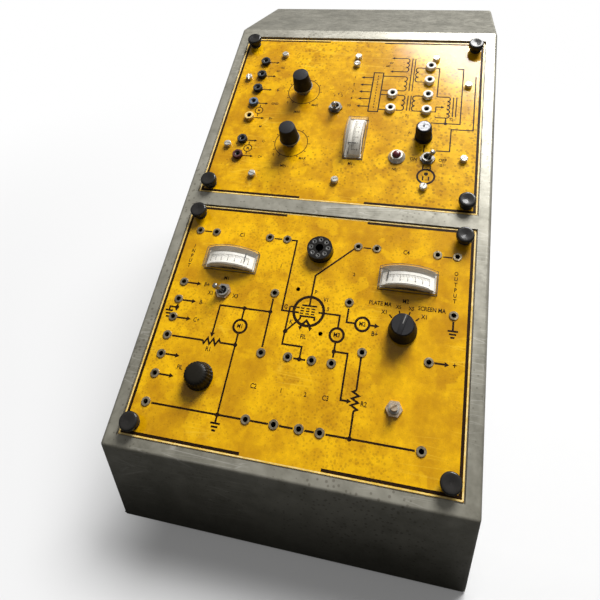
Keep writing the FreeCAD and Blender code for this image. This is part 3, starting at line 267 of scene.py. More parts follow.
def enamel(name, grime, specks, fineness):
    """Golden yellow enamel with bright patches, brown grime and dark specks."""
    material, tree, shader = new_material(name, specular_ior_level=0.05, coat_weight=0.5, coat_roughness=0.12)
    faded = blend_colour(tree, effect(tree, BLOTCHES, Scale=8.0), DULL_YELLOW, CLEAN_YELLOW)
    patchy = blend_colour(tree, effect(tree, BLOTCHES, Scale=38.0), faded, BROWN_GRIME, grime)
    mottled = blend_colour(tree, effect(tree, BLOTCHES, Scale=190.0), patchy, FINE_GRIME, 0.26)
    fresh = threshold(tree, effect(tree, BLOTCHES, Scale=9.0), 0.72, 0.86)
    bright = blend_colour(tree, fresh, mottled, BRIGHT_YELLOW, 0.32)
    spots = effect(tree, SPECKS, Scale=fineness, Amount=0.54)
    specked = blend_colour(tree, spots, bright, SPECK_BROWN, specks)
    scratch = effect(tree, SCRATCHES, Scale=7.0, Reach=0.47)
    tree.links.new(blend_colour(tree, scratch, specked, UNDERCOAT, 0.3), shader.inputs["Base Color"])
    smear = effect(tree, BLOTCHES, Scale=26.0)
    tree.links.new(blend_value(tree, smear, 0.30, 0.48), shader.inputs["Roughness"])
    bump(tree, shader, effect(tree, BLOTCHES, Scale=420.0), 0.00002)
    return material


dress(enamel("upper_enamel", 0.5, 0.46, 230.0), "upper_panel")
dress(enamel("lower_enamel", 0.3, 0.3, 330.0), "lower_panel")

# The circuit is silk-screened on the panels in dark brown ink, as lines, symbols and letters. Each stroke
# is a thin layer that stands on the enamel, and a pale line shows along the plate's edges.
INK_DEPTH = 0.03
INK_STEP = 0.0005
PANEL_FACE = 0.0008
BORDER_INSET = 2.9
LINE = 1.45
FINE_LINE = 1.1
INK_SPREAD = 1.22
LETTER_SIZE, LETTER_WIDTH, LETTER_WEIGHT = 1.35, 0.82, 0.11
LETTER_STEP = 5.6


def panel_frame(node, lift_joint):
    """The frame of a panel's printed face: u to the right, v up the slope, n out of the face."""
    normal = Vector(next(joint["axis"] for joint in frame["joints"] if joint["name"] == lift_joint))
    across = Vector((1, 0, 0))
    turn = Matrix((across, normal.cross(across), normal)).transposed().to_4x4()
    low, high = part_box(node)
    return Matrix.Translation((low + high) / 2 + normal * PANEL_FACE) @ turn


UPPER = panel_frame("upper_panel", "supply_panel_lift")
LOWER = panel_frame("lower_panel", "tube_panel_lift")


def finish_piece(name, shape, place, body, material, smooth=None):
    """Make a mesh object of a finished shape, in its place on a panel, riding on its body."""
    mesh = bpy.data.meshes.new(name)
    shape.to_mesh(mesh)
    shape.free()
    mesh.transform(place @ Matrix.Scale(MM, 4))
    mesh.materials.append(material)
    piece = bpy.data.objects.new(name, mesh)
    scene.collection.objects.link(piece)
    if smooth is not None:
        for face in mesh.polygons:
            face.use_smooth = True
        split = piece.modifiers.new("crease", "EDGE_SPLIT")
        split.split_angle = math.radians(smooth)
    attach(piece, body)
    return piece


class Print:
    """The ink of one panel, gathered stroke by stroke in panel millimetres."""

    def __init__(self, width=LINE):
        self.sheet = bmesh.new()
        self.width = width
        self.strokes = 0

    def press(self, stroke, place=Matrix()):
        """Give a flat stroke its thickness and add it to the sheet."""
        self.strokes += 1
        depth = INK_DEPTH + INK_STEP * self.strokes
        raised = bmesh.ops.extrude_face_region(stroke, geom=stroke.faces[:], use_keep_orig=True)["geom"]
        tops = [item for item in raised if isinstance(item, bmesh.types.BMVert)]
        bmesh.ops.translate(stroke, verts=tops, vec=(0, 0, depth))
        bmesh.ops.recalc_face_normals(stroke, faces=stroke.faces[:])
        bmesh.ops.transform(stroke, matrix=place, verts=stroke.verts[:])
        self.add(stroke)

    def add(self, stroke):
        """Add a finished solid to the sheet."""
        scrap = bpy.data.meshes.new("stroke")
        stroke.to_mesh(scrap)
        stroke.free()
        self.sheet.from_mesh(scrap)
        bpy.data.meshes.remove(scrap)

    def line(self, *points, width=None):
        """A ribbon drawn out along its points, with mitred corners."""
        stroke = bmesh.new()
        width = (width or self.width) * INK_SPREAD
        path = [Vector((u, v, 0)) for u, v in points]
        runs = [(b - a).normalized() for a, b in zip(path, path[1:])]
        left = right = edge = None
        for index, point in enumerate(path):
            after = runs[min(index, len(runs) - 1)]
            mean = (runs[max(index - 1, 0)] + after).normalized()
            side = Vector((-mean.y, mean.x, 0)) * (width / 2 / max(mean.dot(after), 0.4))
            if edge is None:
                left, right = stroke.verts.new(point + side), stroke.verts.new(point - side)
            else:
                made = bmesh.ops.extrude_edge_only(stroke, edges=[edge])["geom"]
                ends = [item for item in made if isinstance(item, bmesh.types.BMVert)]
                left = min(ends, key=lambda vert: (vert.co - left.co).length)
                right = next(vert for vert in ends if vert is not left)
                left.co, right.co = point + side, point - side
            edge = stroke.edges.get((left, right)) or stroke.edges.new((left, right))
        self.press(stroke)

    def ring(self, u, v, radius, width, steps=48):
        """A circle drawn as a line."""
        stroke = bmesh.new()
        width = width * INK_SPREAD
        inner = stroke.verts.new((u + radius - width / 2, v, 0))
        outer = stroke.verts.new((u + radius + width / 2, v, 0))
        bmesh.ops.spin(stroke, geom=[stroke.edges.new((inner, outer))], cent=(u, v, 0), axis=(0, 0, 1),
                       angle=math.tau, steps=steps, use_merge=True)
        self.press(stroke)

    def dot(self, u, v, radius=2.1):
        """A filled spot, where lines join."""
        stroke = bmesh.new()
        bmesh.ops.create_circle(stroke, cap_ends=True, segments=20, radius=radius,
                                matrix=Matrix.Translation((u, v, 0)))
        self.press(stroke)

    def arrow(self, start, tip, width=None, head=4.0):
        """A line that ends in a solid arrow head."""
        start, tip = Vector(start), Vector(tip)
        heading = (tip - start).normalized()
        root = tip - heading * head
        self.line(start, root + heading * 0.3, width=width)
        side = Vector((-heading.y, heading.x)) * head * 0.55
        stroke = bmesh.new()
        stroke.faces.new([stroke.verts.new((*corner, 0)) for corner in (tip, root + side, root - side)])
        self.press(stroke)

    def zigzag(self, start, end, swing, teeth):
        """A resistor: a line that swings to both sides between two points."""
        start, end = Vector(start), Vector(end)
        side = Vector((-(end - start).y, (end - start).x)).normalized() * swing
        points = [start]
        for tooth in range(teeth):
            share = (tooth + 0.5) / teeth
            points.append(start.lerp(end, share) + side * (1 if tooth % 2 else -1))
        self.line(*points, end)

    def coil(self, column, top, base, lead, bulge, turns=3):
        """A winding: half rounds one below another, with a lead out of each end."""
        half = (top - base) / turns / 2
        points = [(lead, top)]
        for turn in range(turns):
            middle = top - half * (2 * turn + 1)
            for step in range(9):
                angle = math.pi * (0.5 - step / 8)
                points.append((column + bulge * math.cos(angle), middle + half * math.sin(angle)))
        self.line(*points, (lead, base))

    def ground(self, u, v, half=4.6, pitch=3.0):
        """An earth sign: three bars, each shorter than the one above."""
        for bar in range(3):
            reach = half * (1 - 0.3 * bar)
            self.line((u - reach, v - pitch * bar), (u + reach, v - pitch * bar), width=1.4)

    def words(self, text, u, v, height):
        """Letters of the plain built-in face, laid flat like the rest of the print."""
        self.letters(text, Matrix.Translation((u, v, 0)), height)

    def letters(self, text, place, height):
        """Letters at any place, set narrow and a little heavy."""
        curve = bpy.data.curves.new("words", "FONT")
        curve.body = text
        curve.size = height * LETTER_SIZE
        curve.align_x, curve.align_y = "CENTER", "CENTER"
        curve.resolution_u = 2
        curve.offset = LETTER_WEIGHT
        letters = bpy.data.objects.new("words", curve)
        flat = bpy.data.meshes.new_from_object(letters)
        flat.transform(Matrix.Scale(LETTER_WIDTH, 4, (1, 0, 0)))
        stroke = bmesh.new()
        stroke.from_mesh(flat)
        bpy.data.objects.remove(letters)
        bpy.data.curves.remove(curve)
        bpy.data.meshes.remove(flat)
        self.press(stroke, place)

    def done(self, name, place, body, material):
        """Make the gathered ink a piece on its panel."""
        finish_piece(name, self.sheet, place, body, material)


def cloudy(name, scale, dark, pale, **sockets):
    """A plain finish that drifts between a dark and a pale tone in soft patches."""
    material, tree, shader = new_material(name, **sockets)
    patches = effect(tree, BLOTCHES, Scale=scale)
    tree.links.new(blend_colour(tree, patches, dark, pale), shader.inputs["Base Color"])
    return material


ink = cloudy("brown_ink", 60.0, (0.009, 0.004, 0.002), (0.022, 0.009, 0.002), roughness=0.5,
             specular_ior_level=0.08)
edge_cream = cloudy("edge_cream", 50.0, (0.62, 0.42, 0.07), (0.84, 0.66, 0.28), roughness=0.45)

PANEL_WIDTH, PANEL_HEIGHT = 302.0, 242.0
EDGE_INSET, EDGE_LINE = 0.75, 0.9


def border(drawing, top_gap, base_gap, width, top_width):
    """The heavy line round a panel, broken at the middle of its top and bottom."""
    side, rise = PANEL_WIDTH / 2 - BORDER_INSET, PANEL_HEIGHT / 2 - BORDER_INSET
    for sign, low, high in ((-1, base_gap[0], top_gap[0]), (1, base_gap[1], top_gap[1])):
        corner = sign * side
        drawing.line((low, -rise), (corner, -rise), (corner, rise), width=width)
        drawing.line((corner - sign * width / 2, rise), (high, rise), width=top_width)


def edging(name, place, body):
    """The pale line along the very edge of a plate."""
    strip = Print(EDGE_LINE)
    side, rise = PANEL_WIDTH / 2 - EDGE_INSET, PANEL_HEIGHT / 2 - EDGE_INSET
    corners = [(-side, -rise), (side, -rise), (side, rise), (-side, rise)]
    for start, end in zip(corners, corners[1:] + corners[:1]):
        strip.line(start, end)
    strip.done(name, place, body, edge_cream)


edging("upper_edging", UPPER, "supply_panel")
edging("lower_edging", LOWER, "tube_panel")

upper = Print(FINE_LINE)
border(upper, (-40.5, 29.5), (-35.0, 35.5), 2.2, 1.7)
for row in (78.8, 55.5, 33.0, 10.8, -12.0, -46.2, -68.5):
    upper.arrow((-113.0, row), (-100.5, row), head=3.4)
for row, above, below in ((-0.5, 8.4, -9.5), (-57.5, -48.5, -66.0)):
    upper.ring(-109.5, row, 4.8, 0.9)
    upper.words("M", -109.5, row, 3.6)
    upper.line((-109.5, row + 5.2), (-109.5, above), width=0.9)
    upper.line((-109.5, row - 5.2), (-109.5, below), width=0.9)
for text, u, v in (("AC", -94.5, 70.5), ("6V", -99.5, 64.5), ("B-", -92.5, 33.0), ("GND", -92.0, 11.0),
                   ("B+", -92.0, -12.0), ("C-", -92.5, -46.2), ("C+", -92.0, -68.5), ("M", -102.0, -25.0)):
    upper.words(text, u, v, 3.6)
VOLTAGE_COLUMN = -59.3
for row in (32.5, -46.0):
    upper.ring(VOLTAGE_COLUMN, row, 19.3, 0.7, 64)
    for tick in range(11):
        angle = math.radians(-60 + 30 * tick)
        ray = Vector((math.cos(angle), math.sin(angle)))
        centre = Vector((VOLTAGE_COLUMN, row))
        upper.line(centre + ray * 20.2, centre + ray * 22.2, width=0.8)
    for text, angle in (("0", 228), ("MAX", -52)):
        reach = 26.0 if len(text) < 3 else 28.0
        upper.words(text, VOLTAGE_COLUMN + reach * math.cos(math.radians(angle)),
                    row + (reach - 1.5) * math.sin(math.radians(angle)), 3.4)
    upper.words("MIN", -62.0, row - 32.5, 3.6)
for text, u, v in (("V", -16.0, 31.0), ("1", -20.5, 28.5), ("2", -11.5, 28.5), ("3", -2.0, 14.0)):
    upper.words(text, u, v, 3.4)
for row, text in ((59.2, "1"), (47.5, "2"), (36.5, "3"), (25.5, "4"), (14.0, "5")):
    upper.arrow((22.5, row), (8.0, row), head=3.8)
    upper.words(text, 0.5, row, 3.8)
upper.line((22.7, 6.5), (22.7, 67.5), (34.2, 67.5), (34.2, 6.5), (22.1, 6.5), width=1.2)
for dash in range(12):
    upper.line((28.4, 12.0 + 4.4 * dash), (28.4, 14.4 + 4.4 * dash), width=0.9)
upper.coil(60.5, 92.5, 70.5, 47.0, 3.0)
for row in (92.5, 70.5):
    upper.arrow((50.0, row), (41.5, row), head=3.6)
upper.words("6V", 42.0, 84.5, 3.6)
upper.words("AC", 38.0, 79.0, 3.6)
upper.coil(60.5, 62.5, 40.0, 34.2, 3.0)
upper.coil(60.5, 33.0, 10.2, 34.2, 3.0)
for column in (67.0, 70.5):
    upper.line((column, 92.5), (column, 40.0), width=1.0)
    upper.line((column, 33.0), (column, 10.2), width=1.0)
upper.coil(75.5, 77.6, 55.0, 86.0, -3.0)
upper.coil(75.5, 33.0, 10.2, 86.0, -3.0)
upper.words("T1", 68.5, 2.5, 3.6)
upper.words("T2", 118.0, 0.0, 3.6)
upper.line((93.0, 77.6), (100.0, 77.6), (100.0, 33.0))
upper.coil(112.5, 33.0, 2.0, 100.0, 3.0, turns=5)
upper.line((112.0, 2.0), (112.0, -6.0))
upper.dot(112.0, -6.0, 1.9)
upper.line((93.0, 10.2), (100.0, 10.2), (100.0, 17.6))
upper.arrow((99.5, 17.6), (109.5, 17.6), head=3.6)
for column in (119.0, 122.5):
    upper.line((column, 33.0), (column, 4.0), width=1.0)
upper.line((96.5, -6.0), (128.0, -6.0), (128.0, 77.6), (121.0, 77.6))
upper.line((104.5, -44.5), (119.0, -44.5), (119.0, -14.0), (142.5, -14.0), (142.5, 66.0))
upper.line((91.5, -37.5), (91.5, -47.0))
upper.words("F1", 74.5, -22.0, 3.6)
upper.words("ON", 81.5, -57.5, 4.4)
upper.words("OFF", 112.5, -57.0, 4.4)
upper.words("S1", 112.5, -63.5, 3.8)
upper.words("M1", 13.5, -69.5, 4.0)
upper.words("NE1", 63.0, -72.5, 3.4)
upper.ring(96.5, -79.0, 9.0, 1.8)
upper.dot(96.5, -75.7, 2.2)
for column in (93.5, 99.6):
    upper.line((column, -84.0), (column, -79.0), width=1.3)
for column in (92.5, 100.5):
    upper.line((column, -64.5), (column, -71.5), width=1.2)
upper.done("upper_print", UPPER, "supply_panel", ink)

lower = Print()
border(lower, (-43.5, 42.8), (-36.0, 36.0), 2.2, 2.2)
for row in (29.7, 10.5, -7.8, -44.7, -63.9):
    lower.arrow((-130.0, row), (-115.5, row), head=4.4)
for text, row in (("B+", 29.7), ("B-", 10.5), ("C+", -7.8)):
    lower.words(text, -109.5, row, 4.6)
lower.dot(-133.5, 2.3)
lower.line((-133.5, 6.0), (-133.5, -1.0))
lower.line((-133.5, 2.3), (-140.8, 2.3), (-140.8, -1.2))
lower.ground(-140.8, -1.6, 4.0, 3.2)
lower.line((-129.5, 89.8), (-121.0, 89.8), width=1.2)
lower.line((-51.0, 89.5), (-43.0, 89.5), width=1.2)
lower.line((-32.5, 89.5), (-26.6, 89.5), (-26.6, 13.6), (-9.5, 13.6))
lower.line((-0.4, 21.5), (-0.4, 53.4), (33.5, 87.0))
lower.line((42.5, 89.5), (50.5, 89.5), width=1.2)
lower.line((121.0, 88.6), (129.5, 88.6), width=1.2)
lower.ring(-0.2, 16.0, 14.6, 2.3, 64)
lower.line((-7.6, 21.5), (7.0, 21.5), width=1.5)
for row in (18.5, 15.8, 13.2):
    for dash in range(3):
        lower.line((-8.4 + 5.4 * dash, row), (-4.9 + 5.4 * dash, row), width=FINE_LINE)
lower.line((-19.2, 18.6), (-9.5, 18.6), width=1.2)
lower.line((9.5, 16.0), (30.4, 16.0), (30.4, 3.5))
lower.line((-7.2, 7.2), (-7.2, 10.6), (6.7, 10.6), (6.7, 7.4), width=1.5)
lower.line((-5.8, 0.5), (-0.5, 6.6), (4.6, 0.5), width=1.9)
lower.arrow((-5.4, 1.6), (-5.4, -3.4), width=1.2, head=3.6)
lower.arrow((4.3, 1.6), (4.3, -3.4), width=1.2, head=3.6)
lower.line((-7.2, 7.6), (-18.8, -6.2))
lower.dot(-19.0, -6.5)
lower.line((-19.2, 18.6), (-19.2, -18.8), (-0.2, -18.8), (-0.2, -30.4))
lower.dot(-0.2, -30.5)
lower.line((-6.0, -30.5), (5.5, -30.5))
lower.line((-129.5, -26.4), (-97.0, -26.4))
lower.zigzag((-97.0, -26.4), (-79.5, -26.4), 2.9, 6)
lower.line((-79.5, -26.4), (-64.0, -26.4))
lower.words("R1", -89.3, -34.2, 4.6)
lower.line((-37.5, 10.4), (-89.5, 10.4), (-89.5, -16.0))
lower.arrow((-89.5, -13.0), (-89.5, -22.2), head=4.4)
lower.dot(-64.0, 10.4)
lower.dot(-37.5, 10.4)
lower.line((-37.5, 24.0), (-37.5, -24.5))
lower.line((-64.0, 10.4), (-64.0, -0.5))
lower.ring(-64.0, -7.9, 6.5, 1.9)
lower.line((-64.0, -15.0), (-64.0, -97.0))
lower.dot(-64.0, -26.4)
lower.dot(-64.0, -90.3)
lower.ground(-64.0, -97.6)
for start, end in ((-129.0, -42.0), (-33.0, -16.4), (-6.5, 6.0), (16.4, 25.0), (35.0, 110.5)):
    lower.line((start, -90.3), (end, -90.3))
lower.ring(30.4, -3.2, 6.5, 1.9)
lower.line((30.4, -10.4), (30.4, -24.5))
lower.dot(30.4, -18.8)
lower.line((30.4, -18.8), (43.2, -18.8), (43.2, -60.2), (46.0, -60.2))
lower.arrow((45.0, -60.2), (52.8, -60.2), head=4.0)
lower.line((55.8, -20.5), (55.8, -50.0))
lower.zigzag((55.8, -50.0), (55.8, -67.5), 2.9, 6)
lower.line((55.8, -67.5), (55.8, -90.3))
lower.dot(55.8, -90.3)
lower.words("R2", 63.8, -60.8, 4.6)
lower.line((37.6, 24.0), (37.6, 10.4), (45.5, 10.4))
lower.ring(52.5, 10.4, 6.5, 1.9)
lower.arrow((59.5, 10.4), (68.5, 10.4), head=4.4)
lower.words("B+", 65.0, 2.6, 4.8)
lower.line((134.5, 24.5), (134.5, 15.6))
lower.ground(134.5, 15.2)
lower.arrow((120.5, -15.9), (133.5, -15.9), head=4.2)
lower.words("+", 138.0, -15.9, 6.0)
for text, u, v in (("M1", -64.0, -7.9), ("M3", 30.4, -3.2), ("M2", 52.5, 10.4)):
    lower.words(text, u, v, 4.4)
for text, u, v, height in (
        ("C1", -86.5, 89.5, 4.8), ("C4", 85.5, 89.0, 4.8), ("C2", -37.2, -60.8, 4.6),
        ("C3", 29.8, -61.0, 4.6),
        ("1", -11.0, -60.8, 4.0), ("2", 11.4, -60.8, 4.0), ("1", -37.4, 59.5, 3.8), ("2", 37.6, 59.3, 3.8),
        ("P", 3.2, 36.0, 4.4), ("V1", 14.6, 29.6, 4.4), ("S", 18.0, 20.4, 4.2), ("G", -23.2, 17.6, 4.4),
        ("K", -15.2, 3.4, 4.4), ("FIL", -0.8, -9.4, 4.4), ("M1", -90.5, 39.2, 4.2), ("X1", -103.0, 21.5, 4.4),
        ("X3", -76.5, 21.5, 4.4), ("FIL", -112.0, -55.0, 4.2), ("M2", 90.0, 38.0, 4.4),
        ("PLATE MA", 66.5, 33.0, 4.3), ("SCREEN MA", 114.5, 33.0, 4.3), ("X5", 84.0, 31.6, 3.8),
        ("X5", 96.0, 31.6, 3.8), ("X1", 71.5, 25.0, 4.2), ("X1", 108.5, 25.0, 4.2)):
    lower.words(text, u, v, height)
for text, u, top in (("INPUT", -135.2, 71.0), ("OUTPUT", 134.5, 72.0)):
    for step, letter in enumerate(text):
        lower.words(letter, u, top - LETTER_STEP * step, 4.2)
SELECTOR_PLACE = (90.0, 9.5)
for angle in (135, 105, 75, 45):
    ray = Vector((math.cos(math.radians(angle)), math.sin(math.radians(angle))))
    centre = Vector(SELECTOR_PLACE)
    lower.line(centre + ray * 15.5, centre + ray * 19.5, width=1.0)
lower.done("lower_print", LOWER, "tube_panel", ink)


# Each panel is held by four push-pull fasteners of black nylon: a grommet snapped into the panel and a
# plunger with a shallow dished head. Handling has polished the heads and left dust in the dishes.
def facing_up(tree, low, high):
    """A mask over the faces that look out of the panels, where dust settles."""
    normal = add_node(tree, "TexCoord").outputs["Normal"]
    tilt = add_node(tree, "VectorMath", {0: normal, 1: UPPER.col[2].to_3d()}, operation="DOT_PRODUCT")
    return threshold(tree, tilt.outputs["Value"], low, high)


def moulded(name, colour, dusty, rough, dust=0.5, gloss=0.05):
    """Moulded plastic with worn and dusty places, dustiest where it faces out of the panel."""
    material, tree, shader = new_material(name, specular_ior_level=0.12, coat_weight=gloss,
                                          coat_roughness=0.1)
    worn = blend_colour(tree, effect(tree, BLOTCHES, Scale=85.0), colour, dusty, 0.35)
    dusted = blend_colour(tree, facing_up(tree, 0.8, 1.0), worn, dusty, dust)
    tree.links.new(dusted, shader.inputs["Base Color"])
    smear = effect(tree, BLOTCHES, Scale=130.0)
    tree.links.new(blend_value(tree, smear, rough, rough + 0.18), shader.inputs["Roughness"])
    bump(tree, shader, smear, 0.00003)
    return material


nylon = moulded("black_nylon", (0.009, 0.009, 0.009), (0.028, 0.025, 0.022), 0.26, 0.3, 0.3)
dress(nylon, "upper_grommets", "lower_grommets")
for panel in ("upper", "lower"):
    dress(nylon, *[f"{panel}_plunger_{corner}" for corner in (1, 2, 3, 4)])


# The raised jacks are moulded bushings in the colours of their circuits, each round a plated spring sleeve.
# The jacks of the lower panel are flush plated rings.
def plated(name, dark, pale, rough, metal=0.55):
    """Plated metal with cloudy tarnish."""
    material, tree, shader = new_material(name, metallic=metal)
    tarnish = effect(tree, BLOTCHES, Scale=75.0)
    tree.links.new(blend_colour(tree, tarnish, dark, pale), shader.inputs["Base Color"])
    smear = effect(tree, BLOTCHES, Scale=210.0)
    tree.links.new(blend_value(tree, smear, rough, rough + 0.2), shader.inputs["Roughness"])
    bump(tree, shader, smear, 0.00002)
    return material


def turned_shape(profile, steps=36):
    """A shape turned about the Z axis from a closed profile of radius and height pairs."""
    shape = bmesh.new()
    corners = [shape.verts.new((radius, 0, height)) for radius, height in profile]
    sides = [shape.edges.new(pair) for pair in zip(corners, corners[1:] + corners[:1])]
    bmesh.ops.spin(shape, geom=corners + sides, cent=(0, 0, 0), axis=(0, 0, 1), angle=math.tau, steps=steps,
                   use_merge=True)
    bmesh.ops.remove_doubles(shape, verts=shape.verts[:], dist=0.0001)
    bmesh.ops.recalc_face_normals(shape, faces=shape.faces[:])
    return shape


def spot(u, v, turn=0.0):
    """A place on a panel, in millimetres, turned about its normal."""
    return Matrix.Translation((u, v, 0)) @ Matrix.Rotation(turn, 4, "Z")


def repeated(shape, places):
    """One shape set down at several places."""
    master = bpy.data.meshes.new("master")
    shape.to_mesh(master)
    shape.free()
    group = bmesh.new()
    for place in places:
        copy = master.copy()
        copy.transform(place)
        group.from_mesh(copy)
        bpy.data.meshes.remove(copy)
    bpy.data.meshes.remove(master)
    return group


dress(moulded("black_jack", (0.012, 0.012, 0.013), (0.07, 0.072, 0.075), 0.3), "black_jacks")
dress(moulded("blue_jack", (0.055, 0.085, 0.135), (0.17, 0.21, 0.26), 0.3), "blue_jack")
dress(moulded("yellow_jack", (0.62, 0.40, 0.07), (0.74, 0.55, 0.22), 0.34), "yellow_jack")
dress(moulded("maroon_jack", (0.045, 0.011, 0.010), (0.12, 0.06, 0.06), 0.3), "maroon_jack")
dress(moulded("white_jack", (0.70, 0.67, 0.59), (0.80, 0.78, 0.72), 0.34), "white_jacks")
dull_nickel = plated("dull_nickel", (0.18, 0.145, 0.085), (0.40, 0.34, 0.23), 0.22, 0.8)
# Painted shade: this plating is made very dark so that the jack bores and the socket's pin holes read dark.
hole_shade_plating = plated("hole_shade_plating", (0.035, 0.034, 0.032), (0.08, 0.078, 0.073), 0.28, 0.7)
dress(dull_nickel, "panel_jacks", "jack_nuts")
JACK_ROWS = (78.6, 56.0, 33.4, 10.8, -11.8, -46.0, -68.6)
jack_spots = [spot(-118.5, row) for row in JACK_ROWS] + [spot(89.7, row) for row in JACK_ROWS[:4]]
jack_spots += [spot(48.5, row) for row in JACK_ROWS[2:4]]
sleeve = turned_shape([(1.75, -9.0), (2.08, -9.0), (2.08, 3.0), (2.9, 3.75), (2.7, 3.9), (1.75, 3.1)])
ROUND = 30
finish_piece("jack_sleeves", repeated(sleeve, jack_spots), UPPER, "supply_panel", hole_shade_plating,
             ROUND)

# The chassis hangs from slotted round-headed screws through the panel. Switches, lamp and bushings are held
# by plated hexagon nuts, and the switches have bright bat-handled levers.
screw_metal = plated("screw_plating", (0.5, 0.48, 0.42), (0.7, 0.68, 0.61), 0.2, 0.6)
dress(screw_metal, "chassis_screws", "base_screws", "pilot_bezel")
nickel = plated("nickel", (0.14, 0.135, 0.12), (0.31, 0.30, 0.275), 0.22, 0.7)
dress(nickel, "upper_control_nuts")
brassy = plated("brassy_nickel", (0.42, 0.31, 0.20), (0.80, 0.64, 0.46), 0.16, 0.7)
dress(brassy, "lower_control_nuts", "screen_shaft")
chrome = plated("chrome", (0.26, 0.25, 0.225), (0.38, 0.365, 0.33), 0.14, 0.9)
dress(chrome, "output_lever", "power_lever", "grid_lever")
zinc = plated("zinc", (0.22, 0.215, 0.195), (0.36, 0.35, 0.32), 0.34)
dress(zinc, "upper_switches", "grid_switch", "voltage_controls", "lower_controls")

# The knobs are black phenolic moulding pushed on the shafts. The two voltage knobs stand off the panel over
# thin zinc-plated discs, the selector has a pale filled pointer line that also serves as a painted highlight
# on its top, and the grid knob is fluted.
phenolic = moulded("knob_phenolic", (0.007, 0.007, 0.0075), (0.026, 0.025, 0.027), 0.5, 0.6, 0.02)
soiled_phenolic = moulded("soiled_phenolic", (0.007, 0.006, 0.005), (0.014, 0.012, 0.008), 0.34, 0.6)
dress(phenolic, "upper_voltage_knob", "lower_voltage_knob", "selector_knob", "grid_knob", "fuse_cap")
for label, row in (("upper_voltage", 33.0), ("lower_voltage", -46.0)):
    place, knob = spot(VOLTAGE_COLUMN, row), f"{label}_knob"
    cap = turned_shape([(0.0, 25.7), (3.15, 25.7), (3.15, 9.6), (10.9, 9.6), (11.1, 10.1), (9.2, 28.0),
                        (8.9, 28.75), (8.3, 29.0), (0.0, 29.0)], 64)
    cap_piece = finish_piece(f"{label}_cap", repeated(cap, [place]), UPPER, knob, phenolic,
                             ROUND)
    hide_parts(knob)
    skirt = turned_shape([(3.2, 8.7), (11.4, 8.7), (11.7, 8.9), (11.6, 9.55), (3.2, 9.55)], 64)
    finish_piece(f"{label}_skirt", repeated(skirt, [place]), UPPER, knob, zinc, ROUND)
    shaft = turned_shape([(0.0, -12.0), (3.1, -12.0), (3.1, 25.6), (0.0, 25.6)])
    finish_piece(f"{label}_shaft", repeated(shaft, [place]), UPPER, knob, zinc, ROUND)
pointer_fill_and_highlight = cloudy("pointer_line_and_highlight", 90.0, (0.10, 0.10, 0.095), (0.2, 0.195, 0.18), roughness=0.5)


def slab(width, length, base, top):
    """A plain block on the Z axis, given by its sides and its two levels."""
    shape = bmesh.new()
    size = Matrix.Diagonal((width, length, top - base, 1.0))
    bmesh.ops.create_cube(shape, size=1.0, matrix=Matrix.Translation((0, 0, (base + top) / 2)) @ size)
    return shape


ridge = slab(4.4, 20.0, 18.52, 19.6)
bmesh.ops.bevel(ridge, geom=ridge.edges[:], affect="EDGES", offset=0.45, segments=2, profile=0.5, material=-1)
SELECTOR = spot(*SELECTOR_PLACE, math.radians(-15))
KNOB_ROUND = 40
finish_piece("selector_ridge", repeated(ridge, [SELECTOR]), LOWER, "selector_knob", phenolic,
             KNOB_ROUND)
# The pale pointer line is in part a painted highlight on the knob's top.
pointer_line = slab(0.9, 9.0, 19.55, 19.72)
pointer_spot = SELECTOR @ Matrix.Translation((0, 5.0, 0))
finish_piece("selector_pointer", repeated(pointer_line, [pointer_spot]), LOWER, "selector_knob", pointer_fill_and_highlight)

grip = turned_shape([(8.4, 0.8), (13.2, 0.8), (13.4, 2.4), (12.9, 3.2), (12.0, 10.0), (11.2, 12.6),
                     (9.4, 14.2), (6.6, 14.85), (0.0, 15.0), (0.0, -12.0), (3.1, -12.0), (3.1, 5.4),
                     (8.4, 5.4)], 144)
FLUTES, FLUTED_FROM = 24, 9.0
FLUTE_DEPTHS = {3.2: 0.75, 10.0: 0.75, 12.6: 0.45}
for corner in grip.verts:
    depth = FLUTE_DEPTHS.get(round(corner.co.z, 1), 0.0)
    wave = 0.5 + 0.5 * math.cos(FLUTES * math.atan2(corner.co.y, corner.co.x))
    reach = math.hypot(corner.co.x, corner.co.y)
    if depth and reach > FLUTED_FROM:
        corner.co.xy *= 1 - depth * wave / reach
grid_grip = finish_piece("grid_knob_grip", repeated(grip, [spot(-90.0, -60.5)]), LOWER, "grid_knob",
                         soiled_phenolic, KNOB_ROUND)
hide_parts("grid_knob")

# The pilot lamp has a domed glass jewel in a plated bezel. The fuse post is black, with a ribbed cap that
# carries a bright contact disc.
jewel = cloudy("jewel_glass", 240.0, (0.05, 0.002, 0.006), (0.11, 0.006, 0.012), roughness=0.3,
               coat_weight=0.15, coat_roughness=0.08)
dress(jewel, "pilot_jewel")
bakelite = moulded("bakelite", (0.008, 0.0075, 0.007), (0.022, 0.02, 0.018), 0.22, 0.3)
dress(bakelite, "fuse_holder", "tube_socket", "selector_switch", "supply_meter_case", "lower_meter_cases")
FUSE = spot(89.7, -27.0)
fuse_tin = plated("fuse_tin", (0.10, 0.10, 0.105), (0.55, 0.55, 0.56), 0.42, 0.3)
RIBS, RIB_REACH = 32, 8.62
ribs = [FUSE @ Matrix.Rotation(math.tau * rib / RIBS, 4, "Z") @ Matrix.Translation((RIB_REACH, 0, 0))
        for rib in range(RIBS)]
finish_piece("fuse_ribs", repeated(slab(0.5, 0.7, 5.0, 15.0), ribs), UPPER, "fuse_cap", phenolic)
disc = turned_shape([(0.0, 19.52), (6.7, 19.52), (6.7, 19.75), (6.4, 19.95), (0.0, 19.95)], 48)
finish_piece("fuse_disc", repeated(disc, [FUSE]), UPPER, "fuse_cap", fuse_tin, ROUND)
rivet = turned_shape([(0.0, 19.96), (1.3, 19.96), (1.1, 20.2), (0.0, 20.2)], 20)
finish_piece("fuse_rivet", repeated(rivet, [FUSE]), UPPER, "fuse_cap", bakelite, ROUND)
